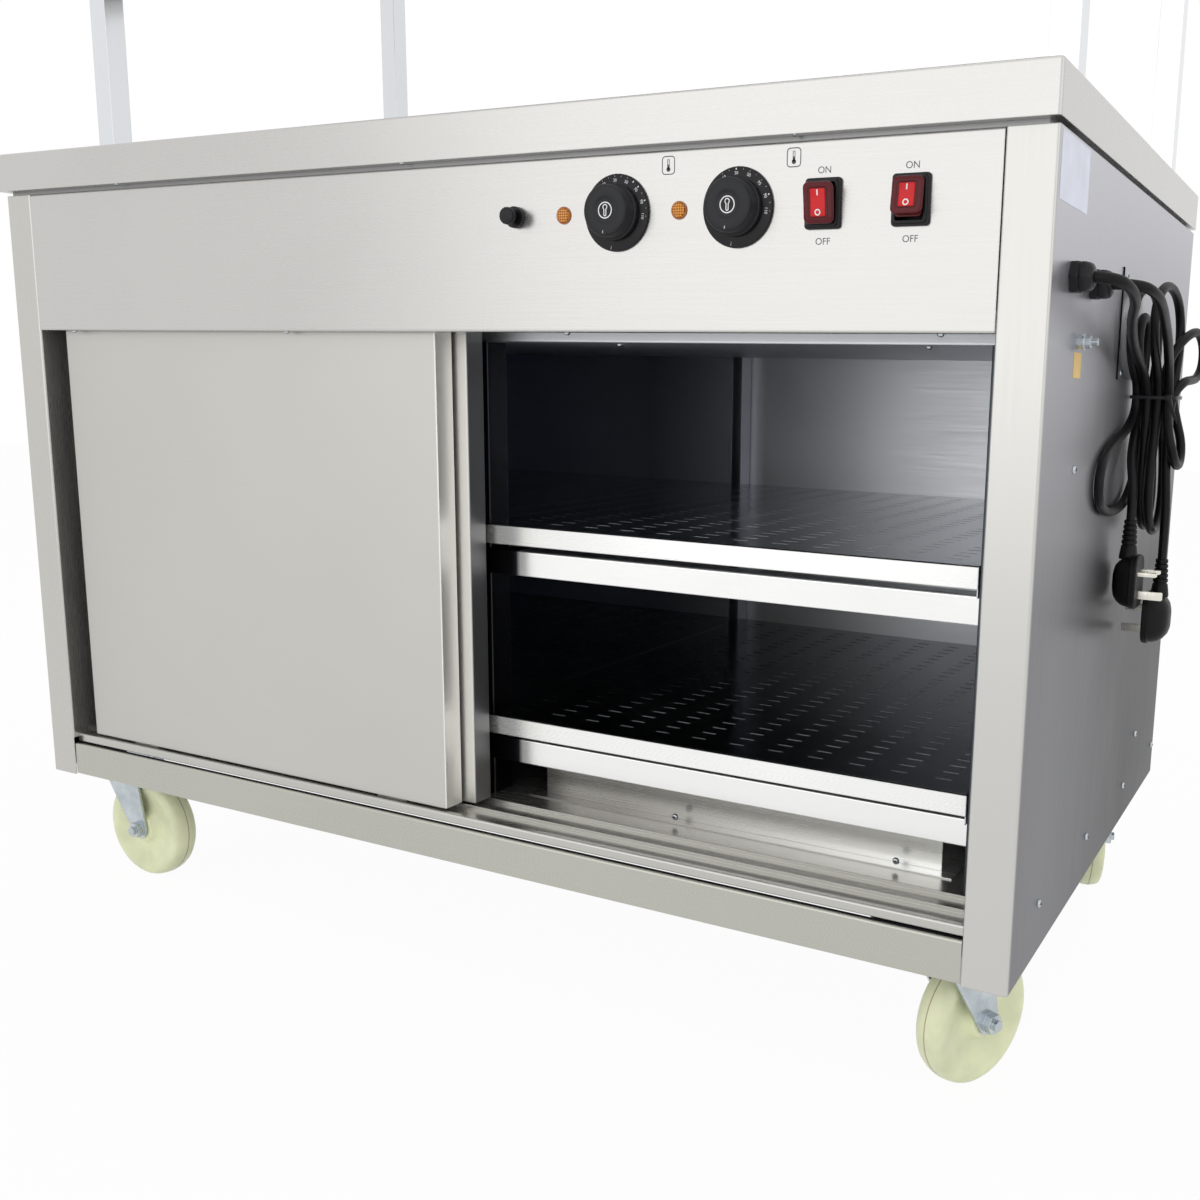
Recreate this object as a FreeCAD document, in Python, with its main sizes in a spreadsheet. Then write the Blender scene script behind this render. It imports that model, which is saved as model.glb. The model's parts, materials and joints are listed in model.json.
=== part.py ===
import FreeCAD, Part
import math
import os
import Sketcher

# Mobile heated counter on castors: folded stainless cabinet, sliding doors, control fascia,
# perforated shelves, worktop and an overhead gantry. The origin is on the floor under the
# middle of the worktop, the front faces -Y and +Z is up. All sizes are millimetres.

document = FreeCAD.newDocument("service_counter")
sheet = document.addObject("Spreadsheet::Sheet", "Sizes")
nodes = {}


class Size(float):
    """A number that remembers the sheet cells that it was worked out from."""

    def __new__(cls, value, text):
        number = float.__new__(cls, value)
        number.text = text
        return number

    def __add__(self, other):
        return Size(float(self) + float(other), "(%s + %s)" % (self.text, text_of(other)))

    def __radd__(self, other):
        return Size(float(other) + float(self), "(%s + %s)" % (text_of(other), self.text))

    def __sub__(self, other):
        return Size(float(self) - float(other), "(%s - %s)" % (self.text, text_of(other)))

    def __rsub__(self, other):
        return Size(float(other) - float(self), "(%s - %s)" % (text_of(other), self.text))

    def __mul__(self, other):
        return Size(float(self) * float(other), "(%s * %s)" % (self.text, text_of(other)))

    def __rmul__(self, other):
        return Size(float(other) * float(self), "(%s * %s)" % (text_of(other), self.text))

    def __truediv__(self, other):
        return Size(float(self) / float(other), "(%s / %s)" % (self.text, text_of(other)))

    def __neg__(self):
        return Size(-float(self), "(0 - %s)" % self.text)


def text_of(value):
    return value.text if isinstance(value, Size) else "%.12g" % float(value)


sheet_rows = []


def size(alias, value):
    """One driving dimension, kept in the sheet under its own name."""
    row = len(sheet_rows) + 1
    sheet_rows.append(alias)
    sheet.set("A%d" % row, alias)
    sheet.set("B%d" % row, "%.12g" % value)
    sheet.setAlias("B%d" % row, alias)
    return Size(value, "Sizes." + alias)


# Worktop and overall sizes
worktop_width = size("worktop_width", 1200)
worktop_depth = size("worktop_depth", 700)
worktop_height = size("worktop_height", 850)
apron_height = size("apron_height", 40)
apron_return = size("apron_return", 10)
worktop_corner = size("worktop_corner", 3)
side_overhang = size("side_overhang", 2)
front_overhang = size("front_overhang", 8)
shadow_gap = size("shadow_gap", 4)

# Sheet metal
gauge = size("gauge", 1.2)
bend_radius = size("bend_radius", 1)
clearance = size("clearance", 0.3)
cut_overrun = size("cut_overrun", 2)

# Cabinet
cabinet_bottom = size("cabinet_bottom", 130)
post_width = size("post_width", 40)
jamb_depth = size("jamb_depth", 70)
panel_return = size("panel_return", 28)
panel_top_return = size("panel_top_return", 20)
side_wall_depth = size("side_wall_depth", 62)
back_wall_depth = size("back_wall_depth", 12)
ceiling_step = size("ceiling_step", 20)
ceiling_beam_depth = size("ceiling_beam_depth", 90)
ceiling_beam_height = size("ceiling_beam_height", 48)
ceiling_pad_height = size("ceiling_pad_height", 40)

# Base pan with the lower tracks
floor_top = size("floor_top", 176)
track_lip_depth = size("track_lip_depth", 7)
track_lip_width = size("track_lip_width", 8.2)
track_lip_height = size("track_lip_height", 4)
track_lip_drop = size("track_lip_drop", 9)
ridge_width = size("ridge_width", 2)
rail_setback = size("rail_setback", 1.5)
rail_height = size("rail_height", 38.5)
rail_lift = size("rail_lift", 0.5)
rail_return = size("rail_return", 5)

# Fascia
fascia_height = size("fascia_height", 148)
fascia_top_return = size("fascia_top_return", 15)
fascia_bottom_return = size("fascia_bottom_return", 9)

# Doors and top track
door_end_gap = size("door_end_gap", 18)
door_thickness = size("door_thickness", 24)
door_setback = size("door_setback", 13)
door_gap = size("door_gap", 4)
door_lift = size("door_lift", 6)
door_head_gap = size("door_head_gap", 4)
door_edge_radius = size("door_edge_radius", 1.5)
front_door_reach = size("front_door_reach", 7)
rear_door_reach = size("rear_door_reach", 22)
liner_inset = size("liner_inset", 20)
liner_depth = size("liner_depth", 2)
track_wall = size("track_wall", 2)
track_clearance = size("track_clearance", 0.5)
track_lip = size("track_lip", 6)
track_drop = size("track_drop", 104)
track_leg = size("track_leg", 26)
glide_length = size("glide_length", 40)
glide_stem = size("glide_stem", 10)
glide_head = size("glide_head", 22)
glide_head_height = size("glide_head_height", 12)
glide_inset = size("glide_inset", 60)
guide_drop = size("guide_drop", 5)

# Shelves
upper_shelf_top = size("upper_shelf_top", 471)
lower_shelf_top = size("lower_shelf_top", 271)
shelf_front_flange = size("shelf_front_flange", 20)
shelf_side_flange = size("shelf_side_flange", 28)
shelf_front_depth = size("shelf_front_depth", 70)
shelf_end_gap = size("shelf_end_gap", 1)
shelf_seam = size("shelf_seam", 1)
rail_face_depth = size("rail_face_depth", 88)
rail_face_height = size("rail_face_height", 26)
rail_ledge = size("rail_ledge", 22)
upright_width = size("upright_width", 16)
upright_depth = size("upright_depth", 30)
slot_length = size("slot_length", 26)
slot_width = size("slot_width", 5)
slot_columns = 6
slot_rows = 5
slot_margin_x = size("slot_margin_x", 50)
slot_margin_y = size("slot_margin_y", 60)

# Lower heaters
cover_inner_edge = size("cover_inner_edge", 42)
cover_end_gap = size("cover_end_gap", 21)
cover_front = size("cover_front", 118)
cover_rear_gap = size("cover_rear_gap", 40)
cover_height = size("cover_height", 31)
cover_flange = size("cover_flange", 14)
cover_slot_length = size("cover_slot_length", 180)
cover_slot_width = size("cover_slot_width", 8)
cover_slot_pitch = size("cover_slot_pitch", 60)
cover_slot_count = 7
element_diameter = size("element_diameter", 8)
element_height = size("element_height", 14)
element_spread = size("element_spread", 240)
element_front = size("element_front", 190)
element_rear_gap = size("element_rear_gap", 80)
bracket_width = size("bracket_width", 280)
bracket_height = size("bracket_height", 24)
bracket_setback = size("bracket_setback", 60)

# Controls: places in from the fascia's right end and above the floor
control_height = size("control_height", 757.5)
reset_inset = size("reset_inset", 441.8)
lamp_inset = size("lamp_inset", 391)
knob_inset = size("knob_inset", 335.5)
control_pitch = size("control_pitch", 116.3)
switch_inset = size("switch_inset", 143.5)
switch_pitch = size("switch_pitch", 73)
bezel_diameter = size("bezel_diameter", 64)
bezel_thickness = size("bezel_thickness", 2.5)
knob_skirt_diameter = size("knob_skirt_diameter", 47)
knob_face_diameter = size("knob_face_diameter", 42)
knob_height = size("knob_height", 18)
knob_skirt_height = size("knob_skirt_height", 6)
knob_dish_diameter = size("knob_dish_diameter", 22)
knob_dish_depth = size("knob_dish_depth", 1)
spindle_diameter = size("spindle_diameter", 6)
spindle_length = size("spindle_length", 20)
spindle_fit = size("spindle_fit", 0.1)
spindle_hole_gap = size("spindle_hole_gap", 0.6)
thermostat_width = size("thermostat_width", 44)
thermostat_depth = size("thermostat_depth", 34)
bulb_diameter = size("bulb_diameter", 6)
bulb_length = size("bulb_length", 80)
lamp_diameter = size("lamp_diameter", 12.5)
lamp_flange = size("lamp_flange", 15)
lamp_proud = size("lamp_proud", 3)
lamp_length = size("lamp_length", 30)
reset_nut_diameter = size("reset_nut_diameter", 18.5)
reset_nut_height = size("reset_nut_height", 5)
reset_neck_diameter = size("reset_neck_diameter", 14)
reset_bore_diameter = size("reset_bore_diameter", 9)
reset_cap_diameter = size("reset_cap_diameter", 15)
reset_cap_height = size("reset_cap_height", 4)
reset_travel = size("reset_travel", 2.5)
reset_stem_length = size("reset_stem_length", 14)
cutout_body_width = size("cutout_body_width", 30)
cutout_body_depth = size("cutout_body_depth", 25)
switch_width = size("switch_width", 31)
switch_height = size("switch_height", 39)
switch_proud = size("switch_proud", 5)
switch_body_width = size("switch_body_width", 26)
switch_body_height = size("switch_body_height", 33)
switch_body_depth = size("switch_body_depth", 28)
rocker_width = size("rocker_width", 20)
rocker_length = size("rocker_length", 29)
rocker_depth = size("rocker_depth", 11)
rocker_rise = size("rocker_rise", 5)
rocker_middle_share = 0.6
tray_rise = size("tray_rise", 96)
terminal_width = size("terminal_width", 60)
terminal_depth = size("terminal_depth", 24)
terminal_height = size("terminal_height", 20)

# Worktop frame and heater
frame_section = size("frame_section", 25)
heater_end_margin = size("heater_end_margin", 150)
heater_side_margin = size("heater_side_margin", 125)
heater_thickness = size("heater_thickness", 3)
pad_thickness = size("pad_thickness", 20)

# Gantry
gantry_section = size("gantry_section", 25)
gantry_wall = size("gantry_wall", 1.5)
gantry_inset = size("gantry_inset", 30)
gantry_front_setback = size("gantry_front_setback", 130)
gantry_rear_setback = size("gantry_rear_setback", 90)
gantry_height = size("gantry_height", 370)
canopy_height = size("canopy_height", 40)
canopy_overhang = size("canopy_overhang", 30)
canopy_return = size("canopy_return", 60)
trough_end_gap = size("trough_end_gap", 70)
trough_depth = size("trough_depth", 160)
trough_height = size("trough_height", 34)
lamp_tube_diameter = size("lamp_tube_diameter", 16)
lamp_tube_spread = size("lamp_tube_spread", 60)

# Castors
wheel_diameter = size("wheel_diameter", 125)
wheel_width = size("wheel_width", 30)
wheel_web = size("wheel_web", 10)
wheel_rim = size("wheel_rim", 14)
wheel_crown = size("wheel_crown", 3.5)
wheel_hub_diameter = size("wheel_hub_diameter", 36)
wheel_hub_width = size("wheel_hub_width", 34)
castor_inset = size("castor_inset", 70)
castor_setback = size("castor_setback", 59)
castor_turns = {"front_left": 0, "front_right": 66.2, "rear_left": -20, "rear_right": -72}
castor_trail = size("castor_trail", 38)
castor_height = size("castor_height", 155)
plate_length = size("plate_length", 105)
plate_width = size("plate_width", 85)
plate_thickness = size("plate_thickness", 3)
plate_hole_pitch_x = size("plate_hole_pitch_x", 80)
plate_hole_pitch_y = size("plate_hole_pitch_y", 60)
plate_hole_diameter = size("plate_hole_diameter", 9)
race_diameter = size("race_diameter", 56)
race_height = size("race_height", 6)
kingpin_diameter = size("kingpin_diameter", 12)
kingpin_head = size("kingpin_head", 20)
kingpin_head_height = size("kingpin_head_height", 4)
fork_wall = size("fork_wall", 3)
fork_crown_width = size("fork_crown_width", 60)
fork_foot_radius = size("fork_foot_radius", 12)
fork_gap = size("fork_gap", 1)
axle_diameter = size("axle_diameter", 10)
axle_fit = size("axle_fit", 0.1)
hex_diameter = size("hex_diameter", 19)
hex_height = size("hex_height", 7)
axle_stub = size("axle_stub", 4)
channel_width = size("channel_width", 112)
channel_gauge = size("channel_gauge", 2)

# Right side fittings
gland_rise = size("gland_rise", 52)
front_gland_setback = size("front_gland_setback", 66)
rear_gland_setback = size("rear_gland_setback", 139)
gland_nut_diameter = size("gland_nut_diameter", 27)
gland_nut_height = size("gland_nut_height", 7)
gland_cap_diameter = size("gland_cap_diameter", 22)
gland_cap_height = size("gland_cap_height", 11)
gland_thread_diameter = size("gland_thread_diameter", 18)
gland_thread_length = size("gland_thread_length", 8)
cord_diameter = size("cord_diameter", 9)
stud_setback = size("stud_setback", 98)
stud_height = size("stud_height", 656)
stud_diameter = size("stud_diameter", 6)
stud_proud = size("stud_proud", 17)
stud_nut_diameter = size("stud_nut_diameter", 11)
stud_nut_height = size("stud_nut_height", 5)
stud_washer_diameter = size("stud_washer_diameter", 14)
stud_washer_height = size("stud_washer_height", 1.5)
service_setback = size("service_setback", 272)
service_length = size("service_length", 100)
service_bottom = size("service_bottom", 628)
service_height = size("service_height", 102)

# Plug
plug_width = size("plug_width", 48)
plug_height = size("plug_height", 52)
plug_thickness = size("plug_thickness", 25)
plug_relief_length = size("plug_relief_length", 34)
plug_relief_diameter = size("plug_relief_diameter", 15)
pin_width = size("pin_width", 4)
pin_side = size("pin_side", 6.35)
earth_side = size("earth_side", 8)
pin_length = size("pin_length", 17.7)
earth_length = size("earth_length", 22.7)
pin_spread = size("pin_spread", 22.2)
pin_rise = size("pin_rise", 17)
earth_rise = size("earth_rise", 22.2)

# Cable tie round the hank
hank_middle_y = size("hank_middle_y", 6.3)
hank_waist = size("hank_waist", 612)
hank_inner = size("hank_inner", 602.2)
hank_thickness = size("hank_thickness", 42)
hank_neck = size("hank_neck", 23)
tie_band = size("tie_band", 2)
tie_height = size("tie_height", 5)

# Cord routes from the gland through the loops of the hank to the plug. The tube has straight
# runs joined by arcs, and an arc takes this share of the shorter run beside it.
arc_share = 0.45
front_route = [
    (616, -276, 704), (643, -276, 704), (654, -252, 696), (648, -218, 688), (634, -184, 680),
    (625, -148, 669), (619, -108, 657), (617.5, -70, 646), (617, -34, 634), (617.1, -8, 616),
    (617.1, -3, 586), (617.5, -8, 546), (617.5, -7, 510), (617.5, 8, 488), (617.5, 32, 481),
    (617.5, 54, 494), (617.5, 59, 522), (617.3, 42, 562), (617.1, 20, 594), (617.1, 20, 626),
    (616.8, 35, 650), (613.5, 52, 670), (612, 56, 693), (611, 38, 711), (609.5, 8, 716),
    (608.3, -24, 713), (607.5, -50, 703), (607.5, -66, 682), (607.5, -61, 657), (607.5, -38, 637),
    (607.5, -12, 626), (607, -5, 602), (605.5, -28, 583), (603.5, -84, 570), (603, -126, 558),
    (603, -143, 540), (603, -136, 518), (602.9, -106, 507), (602.9, -60, 504), (602.9, -16, 507),
    (603.5, 12, 520), (606, 25, 544), (607.5, 21, 580), (607.5, 17, 622), (607.5, 23, 648),
    (607.5, 25, 672), (607.5, 8, 691), (607.5, -16, 684), (607.5, -23, 660), (607.5, -4, 641),
    (607.5, 8.5, 622), (607.5, 8.5, 594), (607.5, -9, 572), (608.2, -20, 552), (612.5, -26, 532),
    (613.5, -26, 512), (613.5, -26, 493)
]
rear_route = [
    (616, -203, 704), (643, -203, 704), (654, -179, 696), (650, -145, 689), (646, -111, 679),
    (642.5, -78, 668), (639.5, -46, 656), (637, -18, 640), (636.3, -3, 620), (636.3, -3, 598),
    (640, -11, 578), (645.5, -10, 558), (646.8, 8, 545), (646.8, 34, 547), (645, 47, 567),
    (640, 34, 590), (636.3, 20, 612), (636.3, 34, 638), (636, 46, 662), (634.5, 51, 685),
    (633, 38, 705), (631, 12, 716), (629, -18, 717), (627.5, -44, 708), (626.7, -57, 689),
    (626.7, -52, 665), (626.7, -28, 643), (626.7, -5, 624), (626.7, -2, 594), (627, -14, 560),
    (627, -20, 526), (627, -14, 499), (627, 8, 481), (627, 36, 477), (627, 58, 490), (627, 66, 516),
    (627, 52, 560), (626.7, 21, 592), (626.7, 18, 626), (631, 18, 648), (640, 25, 666), (647, 45, 676),
    (651, 68, 677), (653.5, 86, 664), (653.5, 90, 644), (651, 74, 631), (647.5, 48, 629),
    (646.5, 22, 628), (637.5, 9, 614), (636.3, 8.5, 586), (636.6, 10, 550), (638.8, 19, 506),
    (639, 21.4, 480), (639, 21.4, 451)
]
# How many corners each cord has before its hank begins, and how many in the hank's loops
front_lead_count = 9
front_loop_count = 43
rear_lead_count = 8
rear_loop_count = 41
# How far apart points are taken to measure the gap between the cords, and how far along one
# cord its own next bends are passed over, as shares of the cord's diameter
gap_step_share = 0.35
gap_skip_share = 3.5

front_plane = front_overhang - worktop_depth / 2
body_half = worktop_width / 2 - side_overhang
rear_plane = worktop_depth / 2
lining_half = body_half - side_wall_depth
opening_half = body_half - post_width
apron_bottom = worktop_height - apron_height
body_top = apron_bottom - shadow_gap
track_top = body_top - track_drop
track_leg_bottom = track_top - track_leg
door_top = track_leg_bottom - door_head_gap
ceiling_height = door_top - ceiling_step
gland_height = ceiling_height + gland_rise
fascia_bottom = body_top - fascia_height
floor_under = floor_top - gauge
back_face = rear_plane - back_wall_depth
lip_top = floor_top + track_lip_height
door_pitch = door_thickness + door_gap
door_width = opening_half - door_end_gap
front_door_offset = door_width / 2 - front_door_reach
rear_door_offset = door_width / 2 - rear_door_reach
cover_outer_edge = lining_half - cover_end_gap
reset_place = opening_half - reset_inset
lamp_place = opening_half - lamp_inset
knob_place = opening_half - knob_inset
switch_place = opening_half - switch_inset
heater_width = worktop_width - heater_end_margin * 2
heater_depth = worktop_depth - heater_side_margin * 2
gantry_reach = worktop_width / 2 - gantry_inset
gantry_front = gantry_front_setback - worktop_depth / 2
gantry_back = worktop_depth / 2 - gantry_rear_setback
trough_width = (gantry_reach - trough_end_gap) * 2
front_gland_place = front_plane + front_gland_setback
rear_gland_place = front_plane + rear_gland_setback
stud_place = front_plane + stud_setback
service_front = front_plane + service_setback
wheel_radius = wheel_diameter / 2
castor_reach = worktop_width / 2 - castor_inset
castor_spread = worktop_depth / 2 - castor_setback


def vector(x, y, z):
    return FreeCAD.Vector(float(x), float(y), float(z))


def bind(item, property_name, value):
    """Give a property its value and, where the value comes from the sheet, its expression."""
    if isinstance(value, Size):
        item.setExpression(property_name, value.text)
    else:
        setattr(item, property_name, float(value))


def set_place(item, x, y, z, axis=(0, 0, 1), angle=0):
    item.Placement = FreeCAD.Placement(vector(x, y, z), FreeCAD.Rotation(vector(*axis), float(angle)))
    for letter, value in zip("xyz", (x, y, z)):
        if isinstance(value, Size):
            item.setExpression("Placement.Base." + letter, value.text)


def keep(name, item):
    """List an object as the sub-part of this name."""
    item.Label = name
    nodes[name] = item
    return item


def box(name, low, high):
    """A Part box between two corners."""
    item = document.addObject("Part::Box", name)
    for side, first, last in zip(("Length", "Width", "Height"), low, high):
        bind(item, side, last - first)
    set_place(item, *low)
    return item


def cylinder(name, diameter, length, place, axis=(0, 0, 1), angle=0):
    item = document.addObject("Part::Cylinder", name)
    bind(item, "Radius", diameter / 2)
    bind(item, "Height", length)
    set_place(item, *place, axis=axis, angle=angle)
    return item


def hexagon(name, across_corners, length, place, axis=(0, 0, 1), angle=0):
    item = document.addObject("Part::Prism", name)
    item.Polygon = 6
    bind(item, "Circumradius", across_corners / 2)
    bind(item, "Height", length)
    set_place(item, *place, axis=axis, angle=angle)
    return item


ALONG_X = {"axis": (0, 1, 0), "angle": 90}
ALONG_Y = {"axis": (1, 0, 0), "angle": -90}
TOWARDS_FRONT = {"axis": (1, 0, 0), "angle": 90}


def cut(name, base, tool):
    item = document.addObject("Part::Cut", name)
    item.Base = base
    item.Tool = tool
    return item


def fuse(name, shapes):
    item = document.addObject("Part::MultiFuse", name)
    item.Shapes = shapes
    return item


def group(name, links):
    item = document.addObject("Part::Compound", name)
    item.Links = links
    return item


def mirrored(name, source):
    """The same piece on the other side of the middle plane."""
    item = document.addObject("Part::Mirroring", name)
    item.Source = source
    item.Normal = vector(1, 0, 0)
    return item


def new_body(name):
    return document.addObject("PartDesign::Body", name)


def sketch_on(body, role, name, offset=0):
    """A sketch on one of the body's own planes, moved along that plane's normal."""
    sketch = body.newObject("Sketcher::SketchObject", name)
    plane = [feature for feature in body.Origin.OriginFeatures if feature.Role == role][0]
    sketch.AttachmentSupport = [(plane, "")]
    sketch.MapMode = "FlatFace"
    sketch.AttachmentOffset = FreeCAD.Placement(vector(0, 0, offset), FreeCAD.Rotation())
    if isinstance(offset, Size):
        sketch.setExpression("AttachmentOffset.Base.z", offset.text)
    return sketch


def hold(sketch, geometry, point, place):
    """Fix a point of a sketch at its two sizes."""
    for kind, value in zip(("DistanceX", "DistanceY"), place):
        index = sketch.addConstraint(Sketcher.Constraint(kind, geometry, point, float(value)))
        if isinstance(value, Size):
            sketch.setExpression("Constraints[%d]" % index, value.text)


def step(first, last):
    """Direction of a run that lies along one sketch axis."""
    across = float(last) - float(first)
    return (across > 1e-6) - (across < -1e-6)


def moved(place, direction, distance):
    return tuple(value + distance * way if way else value for value, way in zip(place, direction))


def outline(sketch, corners):
    """A closed outline of straight runs, where a corner may carry the radius of its bend."""
    count = len(corners)
    starts, ends, arcs = [], [], []
    for index in range(count):
        before, here, after = corners[index - 1], corners[index], corners[(index + 1) % count]
        radius = here[2] if len(here) > 2 else None
        if radius is None:
            starts.append(here[:2])
            ends.append(here[:2])
            arcs.append(None)
            continue
        into = (step(before[0], here[0]), step(before[1], here[1]))
        away = (step(here[0], after[0]), step(here[1], after[1]))
        first = moved(here[:2], (-into[0], -into[1]), radius)
        last = moved(here[:2], away, radius)
        centre = moved(first, away, radius)
        ends.append(first)
        starts.append(last)
        arcs.append((centre, radius, into[0] * away[1] - into[1] * away[0] > 0))
    lines = []
    for index in range(count):
        first, last = starts[index], ends[(index + 1) % count]
        line = sketch.addGeometry(Part.LineSegment(vector(*first, 0), vector(*last, 0)), False)
        lines.append(line)
        hold(sketch, line, 1, first)
        if arcs[(index + 1) % count]:
            hold(sketch, line, 2, last)
    for index in range(count):
        incoming, outgoing = lines[index - 1], lines[index]
        if arcs[index] is None:
            sketch.addConstraint(Sketcher.Constraint("Coincident", incoming, 2, outgoing, 1))
            continue
        centre, radius, turns_left = arcs[index]
        circle = Part.Circle(vector(*centre, 0), vector(0, 0, 1), float(radius))
        first, last = (ends[index], starts[index]) if turns_left else (starts[index], ends[index])
        angles = [math.atan2(float(end[1] - centre[1]), float(end[0] - centre[0])) for end in (first, last)]
        arc = sketch.addGeometry(Part.ArcOfCircle(circle, *angles), False)
        near, far = (1, 2) if turns_left else (2, 1)
        sketch.addConstraint(Sketcher.Constraint("Coincident", incoming, 2, arc, near))
        sketch.addConstraint(Sketcher.Constraint("Coincident", outgoing, 1, arc, far))
        rim = sketch.addConstraint(Sketcher.Constraint("Radius", arc, float(radius)))
        sketch.setExpression("Constraints[%d]" % rim, text_of(radius))


def rectangle(sketch, left, right, bottom, top):
    outline(sketch, [(left, bottom), (right, bottom), (right, top), (left, top)])


def circle(sketch, place, diameter):
    rim = Part.Circle(vector(*place, 0), vector(0, 0, 1), float(diameter) / 2)
    index = sketch.addGeometry(rim, False)
    hold(sketch, index, 3, place)
    bound = sketch.addConstraint(Sketcher.Constraint("Diameter", index, float(diameter)))
    sketch.setExpression("Constraints[%d]" % bound, text_of(diameter))


def folded(path, thickness, side):
    """Closed section of a folded sheet: its outer face is the path and its metal lies on one side."""
    count = len(path)
    ways = [(step(path[i][0], path[i + 1][0]), step(path[i][1], path[i + 1][1])) for i in range(count - 1)]
    normals = [(-way[1] * side, way[0] * side) for way in ways]
    outer, inner = [], []
    for index, place in enumerate(path):
        touching = normals[max(index - 1, 0):index + 1]
        shift = (sum(n[0] for n in set(touching)), sum(n[1] for n in set(touching)))
        other = moved(place, shift, thickness)
        if index in (0, count - 1):
            outer.append(place)
            inner.append(other)
            continue
        before, after = ways[index - 1], ways[index]
        turns_left = before[0] * after[1] - before[1] * after[0] > 0
        tight, wide = bend_radius, bend_radius + thickness
        metal_inside = turns_left == (side > 0)
        outer.append(place + ((wide if metal_inside else tight),))
        inner.append(other + ((tight if metal_inside else wide),))
    return outer + inner[::-1]


def pad(body, sketch, length, backwards=False, middle=False):
    feature = body.newObject("PartDesign::Pad", sketch.Name + "_pad")
    feature.Profile = sketch
    bind(feature, "Length", length)
    feature.Reversed = backwards
    feature.Midplane = middle
    return feature


def pocket(body, sketch, length, backwards=False):
    feature = body.newObject("PartDesign::Pocket", sketch.Name + "_pocket")
    feature.Profile = sketch
    bind(feature, "Length", length)
    feature.Reversed = backwards
    return feature


def run_of_section(name, section, left, right):
    """A section drawn in depth and height, run along X between two places."""
    body = new_body(name)
    sketch = sketch_on(body, "YZ_Plane", name + "_section", left)
    outline(sketch, section)
    pad(body, sketch, right - left)
    return body


def upright_of_section(name, section, bottom, top):
    """A section drawn in plan, run upwards between two heights."""
    body = new_body(name)
    sketch = sketch_on(body, "XY_Plane", name + "_section", bottom)
    outline(sketch, section)
    pad(body, sketch, top - bottom)
    return body


def depth(distance):
    """Place in Y of a distance behind the front plane."""
    return front_plane + distance


def side_panel(name, side):
    """Outer skin folded round the front post, with its top return and the notch for the castor."""
    path = [(side * opening_half, depth(jamb_depth)), (side * opening_half, front_plane),
            (side * body_half, front_plane), (side * body_half, rear_plane),
            (side * (body_half - panel_return), rear_plane)]
    body = upright_of_section(name, folded(path, gauge, side), cabinet_bottom, body_top)
    inner = body_half - gauge
    ledge = sketch_on(body, "XY_Plane", name + "_ledge", body_top)
    edges = sorted((side * (inner + gauge / 2), side * (inner - panel_top_return)))
    rectangle(ledge, edges[0], edges[1], depth(jamb_depth), rear_plane - gauge)
    pad(body, ledge, gauge, backwards=True)
    notch = sketch_on(body, "XY_Plane", name + "_notch", cabinet_bottom)
    edges = sorted((side * (opening_half - gauge), side * (opening_half + gauge * 2)))
    rectangle(notch, edges[0], edges[1], front_plane + gauge, depth(jamb_depth) + cut_overrun)
    pocket(body, notch, floor_top - cabinet_bottom, backwards=True)
    if side > 0:
        holes = sketch_on(body, "YZ_Plane", name + "_holes", body_half)
        for place in (front_gland_place, rear_gland_place):
            circle(holes, (place, gland_height), gland_thread_diameter + clearance * 2)
        circle(holes, (stud_place, stud_height), stud_diameter + clearance * 2)
        pocket(body, holes, gauge * 2)
    return keep(name, body)


def inner_linings():
    """Linings of the two sides and the back of the heated space."""
    path = [(body_half - gauge * 2, depth(jamb_depth)), (lining_half, depth(jamb_depth)),
            (lining_half, back_face)]
    right = upright_of_section("lining_right", folded(path, gauge, -1), floor_top, ceiling_height)
    back = box("lining_back", (-(lining_half + gauge), back_face, floor_top),
               (lining_half + gauge, back_face + gauge, ceiling_height))
    keep("inner_linings", group("inner_linings", [right, mirrored("lining_left", right), back]))


def back_panel():
    inner = body_half - gauge - bend_radius
    outer = box("back_panel_sheet", (-inner, rear_plane - gauge * 2, cabinet_bottom),
                (inner, rear_plane - gauge, body_top - gauge))
    keep("back_panel", outer)


def insulation():
    """Mineral wool slabs in the side walls, the back wall, over the ceiling and under the worktop."""
    low_x = lining_half + gauge + clearance
    high_x = body_half - gauge - clearance
    right = box("side_slab", (low_x, depth(jamb_depth) + gauge + clearance, floor_top + clearance),
                (high_x, rear_plane - gauge * 2 - clearance, ceiling_height - clearance))
    back = box("back_slab", (-lining_half, back_face + gauge + clearance, floor_top + clearance),
               (lining_half, rear_plane - gauge * 2 - clearance, ceiling_height - clearance))
    over = box("ceiling_slab", (-lining_half, depth(ceiling_beam_depth) + gauge + clearance,
                                ceiling_height + gauge + clearance),
               (lining_half, back_face - clearance, ceiling_height + ceiling_pad_height))
    top = worktop_height - gauge - heater_thickness - clearance * 2
    deck = box("deck_slab", (-heater_width / 2, -heater_depth / 2, top - pad_thickness),
               (heater_width / 2, heater_depth / 2, top))
    keep("insulation_slabs", group("insulation_slabs", [right, mirrored("side_slab_left", right), back,
                                                        over, deck]))


def base_pan():
    """Floor of the cabinet, folded up into the front lip, with two ridges that guide the doors."""
    lip_front = depth(track_lip_depth)
    lip_back = lip_front + track_lip_width
    path = [(lip_front, lip_top - track_lip_drop), (lip_front, lip_top), (lip_back, lip_top),
            (lip_back, floor_top), (back_face + gauge, floor_top)]
    width = opening_half - clearance
    body = run_of_section("base_pan", folded(path, gauge, -1), -width, width)
    ridges = sketch_on(body, "YZ_Plane", "track_ridges", -width)
    for index in (1, 2):
        middle = depth(door_setback) + door_pitch * index - door_gap / 2
        rectangle(ridges, middle - ridge_width / 2, middle + ridge_width / 2, floor_under + gauge / 2,
                  lip_top)
    pad(body, ridges, width * 2)
    keep("base_pan", body)


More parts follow.
